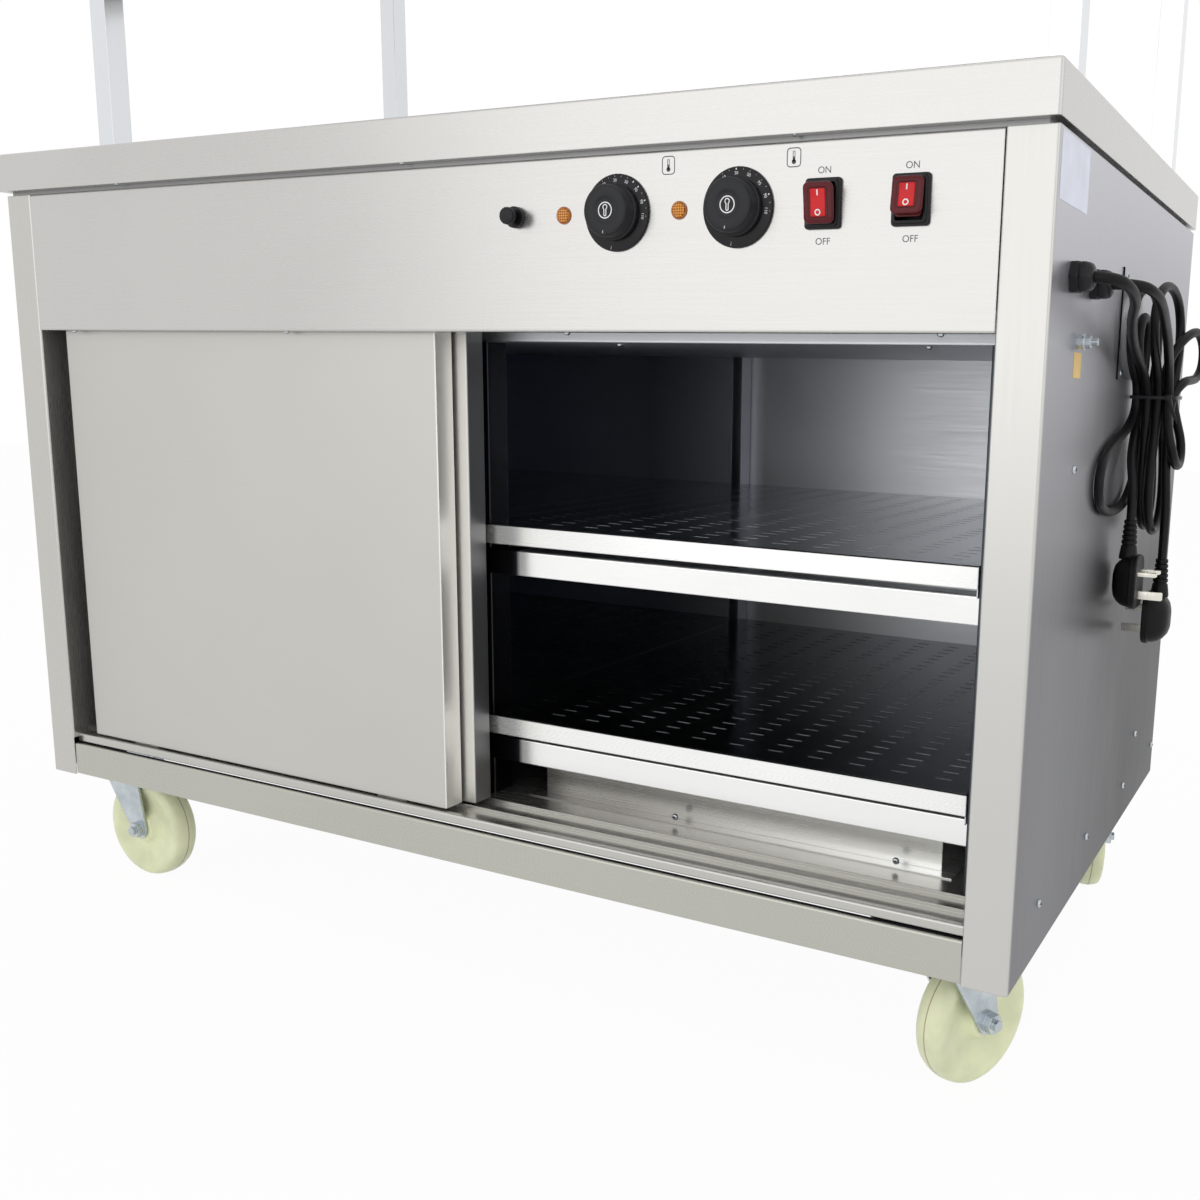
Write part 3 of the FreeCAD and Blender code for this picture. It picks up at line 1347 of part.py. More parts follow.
def bonding_stud():
    outside = body_half
    stud = cylinder("stud_rod", stud_diameter, stud_proud + gauge * 2,
                    (outside - gauge * 2, stud_place, stud_height), **ALONG_X)
    pieces = [stud]
    reach = outside
    for index, (diameter, height) in enumerate(((stud_nut_diameter, stud_nut_height),
                                                (stud_washer_diameter, stud_washer_height),
                                                (stud_nut_diameter, stud_nut_height))):
        maker = cylinder if index == 1 else hexagon
        pieces.append(maker("stud_piece_%d" % index, diameter, height, (reach, stud_place, stud_height),
                            **ALONG_X))
        reach = reach + height
    keep("bonding_stud", fuse("bonding_stud", pieces))


def service_cover():
    cover = box("service_sheet", (body_half, service_front, service_bottom),
                (body_half + gauge, service_front + service_length, service_bottom + service_height))
    keep("service_cover", cover)


def cord_path(route):
    """Straight runs of a route and the tangent arcs between them, with the arcs' radii."""
    points = [vector(*place) for place in route]
    edges = []
    radii = []
    start = points[0]
    for index in range(1, len(points) - 1):
        here = points[index]
        back = points[index - 1].sub(here)
        ahead = points[index + 1].sub(here)
        turn = math.pi - back.getAngle(ahead)
        reach = min(back.Length, ahead.Length) * arc_share
        radius = reach / math.tan(turn / 2)
        radii.append(radius)
        back.normalize()
        ahead.normalize()
        first = here.add(vector(back.x * reach, back.y * reach, back.z * reach))
        last = here.add(vector(ahead.x * reach, ahead.y * reach, ahead.z * reach))
        inward = back.add(ahead)
        inward.normalize()
        sag = radius / math.cos(turn / 2) - radius
        middle = here.add(vector(inward.x * sag, inward.y * sag, inward.z * sag))
        edges.append(Part.makeLine(start, first))
        edges.append(Part.Arc(first, middle, last).toShape())
        start = last
    edges.append(Part.makeLine(start, points[-1]))
    return edges, radii


def cord_tube(name, edges):
    """Tube of the cord's diameter along a chain of runs and arcs."""
    path = Part.Wire(edges)
    first = edges[0]
    ring = Part.makeCircle(float(cord_diameter) / 2, first.valueAt(first.FirstParameter),
                           first.tangentAt(first.FirstParameter))
    item = document.addObject("Part::Feature", name)
    item.Shape = path.makePipeShell([Part.Wire([ring])], True, False)
    expected = path.Length * math.pi * float(cord_diameter) ** 2 / 4
    print("%s length %.0f volume share %.4f" % (name, path.Length, item.Shape.Volume / expected))
    return item


def least_gap(first, second):
    """Least gap between two cords, or of one cord to itself past its own next bends."""
    skip = gap_skip_share / gap_step_share if first is second else 0
    least = None
    for index, here in enumerate(first):
        for other, there in enumerate(second):
            if first is second and other - index < skip:
                continue
            distance = here.distanceToPoint(there)
            if least is None or distance < least:
                least = distance
    return least - float(cord_diameter)


def cords():
    """Each cord in three pieces: lead, loops of the hank and hanging tail."""
    loops = []
    lines = []
    for side, route, lead_count, loop_count in (
            ("front", front_route, front_lead_count, front_loop_count),
            ("rear", rear_route, rear_lead_count, rear_loop_count)):
        edges, radii = cord_path(route)
        print("cord_%s radii %s" % (side, " ".join("%.0f" % value for value in radii)))
        lead_end = lead_count * 2 - 1
        hank_end = lead_end + loop_count * 2
        keep("cord_%s_lead" % side, cord_tube("cord_%s_lead" % side, edges[:lead_end]))
        loops.append(cord_tube("hank_%s" % side, edges[lead_end:hank_end]))
        keep("cord_%s_tail" % side, cord_tube("cord_%s_tail" % side, edges[hank_end:]))
        lines.append(Part.Wire(edges).discretize(Distance=float(cord_diameter) * gap_step_share))
    keep("cord_hank", group("cord_hank", loops))
    for label, first, second in (("front cord to itself", lines[0], lines[0]),
                                 ("rear cord to itself", lines[1], lines[1]),
                                 ("cord to cord", lines[0], lines[1])):
        print("least gap, %s: %.2f" % (label, least_gap(first, second)))


def cable_tie():
    low_y = hank_middle_y - hank_neck - clearance
    high_y = hank_middle_y + hank_neck + clearance
    low_x = hank_inner - clearance
    high_x = hank_inner + hank_thickness + clearance
    bottom = hank_waist - tie_height / 2
    outer = box("tie_outer", (low_x - tie_band, low_y - tie_band, bottom),
                (high_x + tie_band, high_y + tie_band, bottom + tie_height))
    inner = box("tie_inner", (low_x, low_y, bottom - cut_overrun),
                (high_x, high_y, bottom + tie_height + cut_overrun))
    keep("cable_tie", cut("cable_tie", outer, inner))


def plug(name, route, turn):
    """Three-pin plug that hangs from the end of its cord, pins to one side."""
    end = route[-1]
    top = -plug_relief_length
    low = top - plug_height
    half = plug_width / 2
    relief = cylinder(name + "_relief", plug_relief_diameter, plug_relief_length + clearance,
                      (0, 0, top - clearance))
    shell = box(name + "_shell", (-plug_thickness / 2, -half, low), (plug_thickness / 2, half, top))
    face = plug_thickness / 2
    pins = []
    for index, way in enumerate((-1, 1)):
        middle = pin_spread / 2 * way
        pins.append(box("%s_pin_%d" % (name, index),
                        (face - cut_overrun, middle - pin_side / 2, top - pin_rise - pin_width / 2),
                        (face + pin_length, middle + pin_side / 2, top - pin_rise + pin_width / 2)))
    earth = top - pin_rise - earth_rise
    pins.append(box(name + "_earth", (face - cut_overrun, -pin_width / 2, earth - earth_side / 2),
                    (face + earth_length, pin_width / 2, earth + earth_side / 2)))
    item = fuse(name, [relief, shell] + pins)
    item.Placement = FreeCAD.Placement(vector(*end), FreeCAD.Rotation(vector(0, 0, 1), turn))
    keep(name, item)


def build():
    side_panel("side_panel_left", -1)
    side_panel("side_panel_right", 1)
    inner_linings()
    back_panel()
    insulation()
    base_pan()
    bottom_rail()
    castor_channels()
    control_fascia()
    door_track()
    electrics_tray()
    ceiling_lining()
    shelf_supports()
    shelves()
    heater_covers()
    heating_elements()
    worktop()
    top_frame()
    worktop_heater()
    gantry()
    dial_bezels()
    for name, place in zip(("knob_left", "knob_right"), knob_places()):
        knob(name, place)
    thermostats()
    pilot_lamps()
    thermal_cutout()
    reset_button()
    switch_frames()
    rocker("rocker_main", switch_places()[0], False)
    rocker("rocker_lights", switch_places()[1], True)
    terminal_block()
    door("front_door", -front_door_offset, 0)
    door("rear_door", -rear_door_offset, 1)
    castor_plates()
    for corner, x, y in (("front_left", -castor_reach, -castor_spread),
                         ("front_right", castor_reach, -castor_spread),
                         ("rear_left", -castor_reach, castor_spread),
                         ("rear_right", castor_reach, castor_spread)):
        castor("castor_" + corner, x, y, castor_turns[corner])
    keep("cord_glands", group("cord_glands", [cord_gland("gland_front", front_gland_place),
                                              cord_gland("gland_rear", rear_gland_place)]))
    bonding_stud()
    service_cover()
    cords()
    cable_tie()
    plug("plug_front", front_route, 0)
    plug("plug_rear", rear_route, 180)


build()
document.recompute()

for thing in document.Objects:
    if "Invalid" in thing.State or "Error" in thing.State:
        raise RuntimeError("%s did not build: %s" % (thing.Name, thing.State))

os.makedirs("parts", exist_ok=True)
for name, item in nodes.items():
    shape = item.Shape
    if shape.isNull() or not shape.isValid():
        raise RuntimeError("%s has no valid shape" % name)
    shape.exportStep("parts/%s.step" % name)
print("%d sub-parts" % len(nodes))
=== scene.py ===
import json
from math import asin, cos, pi, radians, sin, tau

import bmesh
import bpy
from mathutils import Matrix, Vector


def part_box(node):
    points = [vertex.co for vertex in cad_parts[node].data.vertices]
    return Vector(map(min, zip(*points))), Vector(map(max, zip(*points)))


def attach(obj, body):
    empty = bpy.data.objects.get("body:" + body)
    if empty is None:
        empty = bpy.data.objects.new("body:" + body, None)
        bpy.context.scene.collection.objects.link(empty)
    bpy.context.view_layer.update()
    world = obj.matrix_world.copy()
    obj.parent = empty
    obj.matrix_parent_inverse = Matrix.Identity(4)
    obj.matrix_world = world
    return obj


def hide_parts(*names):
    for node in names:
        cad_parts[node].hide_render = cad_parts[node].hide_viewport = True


# Looks of the mobile heated counter. Lengths are metres in the frame's own axes:
# front towards -Y, +Z up, origin on the floor under the middle of the worktop.

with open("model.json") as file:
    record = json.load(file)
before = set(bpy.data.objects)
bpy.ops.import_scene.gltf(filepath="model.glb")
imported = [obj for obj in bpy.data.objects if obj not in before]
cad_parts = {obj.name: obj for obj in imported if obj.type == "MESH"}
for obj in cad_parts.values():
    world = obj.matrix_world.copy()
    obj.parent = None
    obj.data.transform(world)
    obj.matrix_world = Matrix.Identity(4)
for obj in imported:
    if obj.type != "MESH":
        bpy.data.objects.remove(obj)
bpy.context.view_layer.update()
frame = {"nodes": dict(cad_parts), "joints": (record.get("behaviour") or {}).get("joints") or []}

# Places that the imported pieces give
TOP_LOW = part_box("worktop")[0]
FASCIA_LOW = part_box("control_fascia")[0]
RAIL_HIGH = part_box("bottom_rail")[1]
FRONT = FASCIA_LOW.y
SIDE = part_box("side_panel_right")[1].x

# Camera, fitted to the photograph's straight edges
CAMERA_PLACE = Vector((0.82628, -1.26996, 0.61932))
CAMERA_HEADING = radians(26.082)
CAMERA_DROP = radians(10.374)
CAMERA_ROLL = radians(1.289)
CAMERA_LENS = 37.107
CAMERA_SHIFT = (-0.13852, 0.0063)
CAMERA_NEAR = 0.01

# Cords. The route points are the part's own, a few of each lead moved to the photograph
CORD_DIAMETER = 0.009
FRONT_ROUTE = [
    (0.616, -0.276, 0.704), (0.632, -0.276, 0.703), (0.6405, -0.258, 0.697), (0.639, -0.225, 0.689),
    (0.63, -0.188, 0.68), (0.6235, -0.15, 0.669), (0.619, -0.108, 0.657), (0.6175, -0.07, 0.646),
    (0.617, -0.034, 0.634), (0.6171, -0.008, 0.616), (0.6171, -0.003, 0.586), (0.6175, -0.008, 0.546),
    (0.6175, -0.007, 0.51), (0.6175, 0.008, 0.488), (0.6175, 0.032, 0.481), (0.6175, 0.054, 0.494),
    (0.6175, 0.059, 0.522), (0.6173, 0.042, 0.562), (0.6171, 0.02, 0.594), (0.6171, 0.02, 0.626),
    (0.6168, 0.035, 0.65), (0.6135, 0.052, 0.67), (0.612, 0.056, 0.693), (0.611, 0.038, 0.711),
    (0.6095, 0.008, 0.716), (0.6083, -0.024, 0.713), (0.6075, -0.05, 0.703), (0.6075, -0.066, 0.682),
    (0.6075, -0.061, 0.657), (0.6075, -0.038, 0.637), (0.6075, -0.012, 0.626), (0.607, -0.005, 0.602),
    (0.6055, -0.028, 0.583), (0.6035, -0.084, 0.57), (0.603, -0.126, 0.558), (0.603, -0.143, 0.54),
    (0.603, -0.136, 0.518), (0.6029, -0.106, 0.507), (0.6029, -0.06, 0.504), (0.6029, -0.016, 0.507),
    (0.6035, 0.012, 0.52), (0.606, 0.025, 0.544), (0.6075, 0.021, 0.58), (0.6075, 0.017, 0.622),
    (0.6075, 0.023, 0.648), (0.6075, 0.025, 0.672), (0.6075, 0.008, 0.691), (0.6075, -0.016, 0.684),
    (0.6075, -0.023, 0.66), (0.6075, -0.004, 0.641), (0.6075, 0.0085, 0.622), (0.6075, 0.0085, 0.594),
    (0.6075, -0.009, 0.572), (0.6082, -0.02, 0.552), (0.6125, -0.026, 0.532), (0.6135, -0.026, 0.512),
    (0.6135, -0.026, 0.493)]
REAR_ROUTE = [
    (0.616, -0.203, 0.704), (0.638, -0.203, 0.704), (0.6485, -0.182, 0.697), (0.6475, -0.147, 0.689),
    (0.645, -0.112, 0.679), (0.6425, -0.078, 0.668), (0.6395, -0.046, 0.656), (0.637, -0.018, 0.64),
    (0.6363, -0.003, 0.62), (0.6363, -0.003, 0.598), (0.64, -0.011, 0.578), (0.6455, -0.01, 0.558),
    (0.6468, 0.008, 0.545), (0.6468, 0.034, 0.547), (0.645, 0.047, 0.567), (0.64, 0.034, 0.59),
    (0.6363, 0.02, 0.612), (0.6363, 0.034, 0.638), (0.636, 0.046, 0.662), (0.6345, 0.051, 0.685),
    (0.633, 0.038, 0.705), (0.631, 0.012, 0.716), (0.629, -0.018, 0.717), (0.6275, -0.044, 0.708),
    (0.6267, -0.057, 0.689), (0.6267, -0.052, 0.665), (0.6267, -0.028, 0.643), (0.6267, -0.005, 0.624),
    (0.6267, -0.002, 0.594), (0.627, -0.014, 0.56), (0.627, -0.02, 0.526), (0.627, -0.014, 0.499),
    (0.627, 0.008, 0.481), (0.627, 0.036, 0.477), (0.627, 0.058, 0.49), (0.627, 0.066, 0.516),
    (0.627, 0.052, 0.56), (0.6267, 0.021, 0.592), (0.6267, 0.018, 0.626), (0.631, 0.018, 0.648),
    (0.64, 0.025, 0.666), (0.647, 0.045, 0.676), (0.651, 0.068, 0.677), (0.6535, 0.086, 0.664),
    (0.6535, 0.09, 0.644), (0.651, 0.074, 0.631), (0.6475, 0.048, 0.629), (0.6465, 0.022, 0.628),
    (0.6375, 0.009, 0.614), (0.6363, 0.0085, 0.586), (0.6366, 0.01, 0.55), (0.6388, 0.019, 0.506),
    (0.639, 0.0214, 0.48), (0.639, 0.0214, 0.451)]

# Cable tie: the space that it goes round, its strap, its head and the tail's two lengths
TIE_SPAN = (0.0424, 0.0446)
TIE_RADIUS = 0.007
TIE_STRAP = 0.0012
TIE_HALF_HEIGHT = 0.0016
TIE_HEAD = (0.0062, 0.004, 0.0008)
TIE_HEAD_HALF = 0.0026
TIE_TAIL = (0.019, 0.026)
TIE_TAIL_TURN = radians(158)

# Fittings of the fascia, with places across it and above the floor
CONTROL_HEIGHT = 0.7575
RESET_PLACE = 0.1162
KNOB_PLACES = (0.2225, 0.3388)
LAMP_PLACES = (0.167, 0.2833)
SWITCH_PLACES = (0.4145, 0.4875)
SIGN_PLACES = (0.2724, 0.3876)
SIGN_HEIGHT = 0.7938
SIGN_FRAME = (0.0118, 0.0142, 0.0028)
SIGN_TUBE = (0.0032, 0.0096)
SIGN_COLUMN = ((0, 0.0034), (0, -0.0006))
SIGN_BULB = 0.0018
PRINT_LIFT = 0.00006
PLATE_LIFT = 0.00002
SMOOTH_ANGLE = radians(35)

# Sides of a circle
ROUND = 48
ROUND_FINE = 96
ROUND_SMALL = 24

# Turned profiles are diameters and heights above the fascia. The dial's turns are clockwise from the
# top, with a figure at every other one, and a knob's profile runs from its shaft to its dish
DIAL_PROFILE = ((0.008, 0), (0.064, 0), (0.064, 0.0018), (0.0632, 0.0024), (0.0624, 0.0026), (0.008, 0.0026))
DIAL_PRINT = 0.00265
DIAL_TICK = (0.0291, 0.0306)
DIAL_OFF_TICK = (0.0272, 0.0308)
DIAL_TICK_WIDTH = 0.0009
DIAL_TURNS = [radians(-27.5 + 12.5 * index) for index in range(11)]
DIAL_OFF = radians(190)
DIAL_FIGURES = (10, 30, 50, 70, 90, 110)
DIAL_FIGURE_SIZE = 0.0036
DIAL_FIGURE_REACH = 0.0266
KNOB_PROFILE = ((0.0062, -0.0195), (0.0062, 0.003), (0.0455, 0.003), (0.0468, 0.0036), (0.047, 0.0045),
                (0.0468, 0.0078), (0.0462, 0.0085), (0.0446, 0.0088), (0.044, 0.0094), (0.0428, 0.0184),
                (0.0422, 0.0196), (0.041, 0.0204), (0.0394, 0.02075), (0.024, 0.02075), (0.0222, 0.0205),
                (0.019, 0.0199), (0.0168, 0.0197), (0.0005, 0.0197))
KNOB_PRINT = 0.01975
KNOB_SIGN_RING = 0.0128
KNOB_SIGN = (0.004, 0.0092)
KNOB_POINTER = (0.0165, 0.019)
KNOB_POINTER_HEIGHT = 0.0208
KNOB_TURN = DIAL_OFF - radians(5)
LAMP_RIM = ((0.0115, -0.028), (0.0115, 0), (0.015, 0), (0.015, 0.0007), (0.0146, 0.0011), (0.0128, 0.0012),
            (0.0124, 0.0008))
LAMP_LENS = ((0.0124, 0.0007), (0.0124, 0.0016), (0.0116, 0.0024), (0.0092, 0.0028), (0.005, 0.00295),
             (0.0004, 0.003))
RESET_NECK = ((0.0088, -0.006), (0.0088, 0.0112))
RESET_COLLAR = ((0.0102, 0), (0.0178, 0), (0.0178, 0.0034), (0.0172, 0.0042), (0.016, 0.0045),
                (0.0102, 0.0045))

# Rim of the reset button: diameter, depth of its flutes and height
RESET_RIM = ((0.0142, 0, 0.0108), (0.015, 0.0004, 0.0114), (0.015, 0.0004, 0.015),
             (0.0143, 0.0002, 0.016), (0.0126, 0, 0.0165))
RESET_RIBS = 18

# Switch frame: outlines as width, height and corner radius, and those of its steps with their heights
SWITCH_MOUTH = (0.0228, 0.0312, 0.0015)
SWITCH_BODY = (0.026, 0.033, 0.001)
SWITCH_STEPS = ((0.031, 0.039, 0.003, 0), (0.031, 0.039, 0.003, 0.002), (0.0302, 0.0382, 0.003, 0.0028),
                (0.0278, 0.0358, 0.003, 0.003), (0.027, 0.035, 0.003, 0.0046),
                (0.0258, 0.0338, 0.0026, 0.0054))
SWITCH_FLOOR = -0.012
SWITCH_BACK = -0.028
SWITCH_WORDS = (("ON", 0.0253), ("OFF", -0.0288))
SWITCH_LETTER = 0.0074

# Heights of a rocker's two ends and middle above the fascia, and from its middle to an end
ROCKER_LOW = 0.0106
ROCKER_MIDDLE = 0.0122
ROCKER_HIGH = 0.0148
ROCKER_HALF = 0.015

# Cover's height and shift, pressed at the top and at the foot
ROCKER_UP = (0.028, 0.0024)
ROCKER_DOWN = (0.0312, -0.0006)

# Neck as width, height, corner radius and height above the fascia; cover and red core as width, how
# much lower than the cover, corner radius and height above its face
ROCKER_NECK = ((0.02, 0.0212, 0.002, -0.006), (0.0206, 0.024, 0.002, 0.0035),
               (0.0208, 0.0264, 0.0024, 0.0078))
ROCKER_COVER = ((0.023, 0.003, 0.003, -0.004), (0.0248, 0.0004, 0.0042, -0.0034),
                (0.0252, 0, 0.0044, -0.0014), (0.0246, 0.0006, 0.0042, -0.0005), (0.0232, 0.002, 0.0036, 0),
                (0.017, 0.0082, 0.0022, 0), (0.016, 0.0092, 0.0018, -0.0006))
ROCKER_CORE = ((0.0126, 0.0106, 0.0012, -0.001), (0.0126, 0.0106, 0.0012, -0.0003),
               (0.0116, 0.0116, 0.0012, 0.0001))
ROCKER_BAR = (0.0011, 0.0044, 0.0003)
ROCKER_RING = 0.004
ROCKER_MARK_RISE = 0.0003
ROCKER_MARK_INSET = 0.0083

# Right-hand panel, with places along it and above the floor
GLAND_PLACES = (-0.276, -0.203)
GLAND_HEIGHT = 0.704
SIDE_SCREWS = ((-0.2262, 0.5522), (0.2, 0.217), (0.3346, 0.1686), (0.1403, 0.1703), (-0.0571, 0.1738),
               (-0.2504, 0.1763), (-0.0566, 0.723), (-0.0566, 0.635))
LABELS = ((-0.2865, 0.7795, 0.094, 0.049, 0.001), (-0.2385, 0.6375, 0.027, 0.0205, 0.0008))
LABEL_THICKNESS = 0.0002
# Painted shadow line along the service cover's left edge: place, outline and height
COVER_SHADOW_PLACE = (-0.0712, 0.679)
COVER_SHADOW_LINE = (0.0022, 0.102, 0.0005)
COVER_SHADOW_RISE = 0.0013
# Painted shadow strip along the top of the bottom rail
RAIL_SHADOW_GAUGE = 0.0012

# Screws: rows across the front and under its edges, and a head as shares of its diameter with heights
COVER_SCREWS = (0.224, 0.461)
COVER_SCREW_HEIGHT = 0.184
SCREW_ROWS = (((-0.505, -0.177, 0.166, 0.514), FRONT + 0.005, FASCIA_LOW.z),
              ((0.178, 0.482), -0.27, 0.6505),
              ((-0.405, -0.011, 0.39), FRONT - 0.004, TOP_LOW.z + 0.0012))
SCREW_DOME = ((1, -0.0002), (1, 0.0006), (0.92, 0.0014), (0.7, 0.002), (0.36, 0.0023), (0.02, 0.0024))
# Painted shadow ring round the foot of the head
SCREW_SHADOW_RING = ((1.1, 0), (1.1, 0.0001), (0.9, 0.0001))
# The crossed recess is a dark mark over the dome: painted shade
SCREW_CROSS = (-0.24, 0.24)
SCREW_CROSS_WIDTH = 0.18
SCREW_CROSS_HEIGHT = 0.00245
SCREW_SIDE = 0.007
SCREW_COVER = 0.0062
SCREW_HANGING = 0.0055

# Cord glands: hexagons as the size across corners, the circle that cuts them, and their height
GLAND_HEXAGONS = (
    ((0.027, 0.0254, 0), (0.027, 0.027, 0.0009), (0.027, 0.027, 0.006), (0.027, 0.025, 0.007)),
    ((0.0262, 0.0246, 0.008), (0.0262, 0.0262, 0.0086), (0.026, 0.0256, 0.0118), (0.025, 0.0228, 0.0142),
     (0.023, 0.0196, 0.0162), (0.023, 0.0154, 0.0175), (0.023, 0.0118, 0.018)),
    ((0.027, 0.0254, -0.0048), (0.027, 0.027, -0.0042), (0.027, 0.027, -0.0012)))
GLAND_SEAL = ((0.0215, 0.0068), (0.0215, 0.0082))
GLAND_BARREL = ((0.018, -0.0092), (0.018, 0.0005))

# Plugs: the ribbed relief, with how much narrower and further on each corner of a rib lies
RELIEF_LENGTH = 0.034
RELIEF_RIBBED = 0.72
RELIEF_RIBS = 5
RELIEF_RIB = ((0, 0.0004), (0, 0.0034), (0.0018, 0.0038), (0.0018, 0.0046))
RELIEF_TIP = 0.0112
RELIEF_WIDTH = 0.0124
RELIEF_GROWTH = 0.0006
RELIEF_NECK = 0.015
RELIEF_FOOT = 0.0178

# Plug's moulding, from its face to its domed back: how far in each outline lies, and how deep
PLUG_WIDTH = 0.048
PLUG_HEIGHT = 0.052
PLUG_THICKNESS = 0.025
PLUG_RADIUS = 0.015
PLUG_ROWS = ((0.001, 0), (0, 0.0012), (0, 0.0062), (0.0012, 0.007), (0.0016, 0.011), (0.003, 0.0155),
             (0.0058, 0.0195), (0.0098, 0.0228), (0.015, 0.0246), (0.0205, PLUG_THICKNESS))

# Pins: place across and up, width, height and reach beyond the face
PLUG_PINS = ((-0.0111, 0.009, 0.00635, 0.004, 0.0177), (0.0111, 0.009, 0.00635, 0.004, 0.0177),
             (0, -0.0132, 0.004, 0.008, 0.0227))
PIN_ROOT = 0.002
PIN_TIP = 0.0012

# Wheel, from its axle's hole over the web to the middle of the tread, and the seam's thin ring
WHEEL_HALF = ((0.0102, 0.017), (0.03, 0.017), (0.0322, 0.0164), (0.034, 0.015), (0.038, 0.0118),
              (0.044, 0.0098), (0.056, 0.009), (0.07, 0.0096), (0.082, 0.0114), (0.091, 0.0134),
              (0.098, 0.0146), (0.104, 0.015), (0.11, 0.0147), (0.1156, 0.0136), (0.12, 0.0114),
              (0.123, 0.008), (0.1244, 0.004), (0.1248, 0.0006))
WHEEL_SEAM = ((0.1246, -0.0006), (0.125, -0.0006), (0.125, 0.0006), (0.1246, 0.0006))

# Slots and folds of the shelf boards
SLOT_LENGTH = 0.0155
SLOT_WIDTH = 0.003
SLOT_PITCH_X = 0.042
SLOT_PITCH_Y = 0.02115
SLOT_LAST = 0.5034
SLOT_FRONT = -0.2405
SLOT_COLUMNS = 12
SLOT_ROWS = 27
BOARD_GAUGE = 0.0012
BOARD_SEAM = 0.0005
BOARD_FRONT_DROP = 0.02
BOARD_SIDE_DROP = 0.028
NOTCH_REACH = 0.0083
NOTCHES = ((-0.2523, -0.2217), (0.3077, 0.3377))
DOOR_GAUGE = 0.0012

# Usual values of a noise texture
NOISE_LOW = 0.3
NOISE_HIGH = 0.7

# Light of the room on the object, and how much of the floor's look is plain white
ROOM_LIGHT = 0.75
FLOOR_WHITE = 0.95
FLOOR_REACH = 9.0


def make(name, data):
    """Makes an object in the scene."""
    item = bpy.data.objects.new(name, data)
    bpy.context.scene.collection.objects.link(item)
    return item


def make_camera():
    data = bpy.data.cameras.new("view")
    data.lens = CAMERA_LENS
    data.shift_x, data.shift_y = CAMERA_SHIFT
    data.clip_start = CAMERA_NEAR
    camera = make("view", data)
    turn = (Matrix.Rotation(CAMERA_HEADING, 4, "Z") @ Matrix.Rotation(pi / 2 - CAMERA_DROP, 4, "X")
            @ Matrix.Rotation(CAMERA_ROLL, 4, "Z"))
    camera.matrix_world = Matrix.Translation(CAMERA_PLACE) @ turn
    bpy.context.scene.camera = camera
    bpy.context.scene.view_settings.view_transform = "Standard"


class Tree:
    """A node tree, with short calls to make and join its nodes."""

    def __init__(self, owner):
        owner.use_nodes = True
        self.tree = owner.node_tree

    def node(self, kind, values=(), **settings):
        """A node with its settings and its inputs' values by name."""
        made = self.tree.nodes.new(kind)
        for name, value in settings.items():
            setattr(made, name, value)
        for name, value in dict(values).items():
            made.inputs[name].default_value = value
        return made

    def link(self, output, target):
        self.tree.links.new(output, target)

    def calculate(self, operation, *terms):
        """An operation on numbers and other nodes' outputs."""
        made = self.node("ShaderNodeMath", operation=operation)
        for target, term in zip(made.inputs, terms):
            if isinstance(term, float):
                target.default_value = term
            else:
                self.link(term, target)
        return made.outputs[0]

    def to_eye(self):
        """1 for what the camera sees, straight or in metal and glass."""
        path = self.node("ShaderNodeLightPath")
        seen = path.outputs["Is Camera Ray"]
        for name in ("Is Glossy Ray", "Is Transmission Ray"):
            seen = self.calculate("MAXIMUM", seen, path.outputs[name])
        return seen


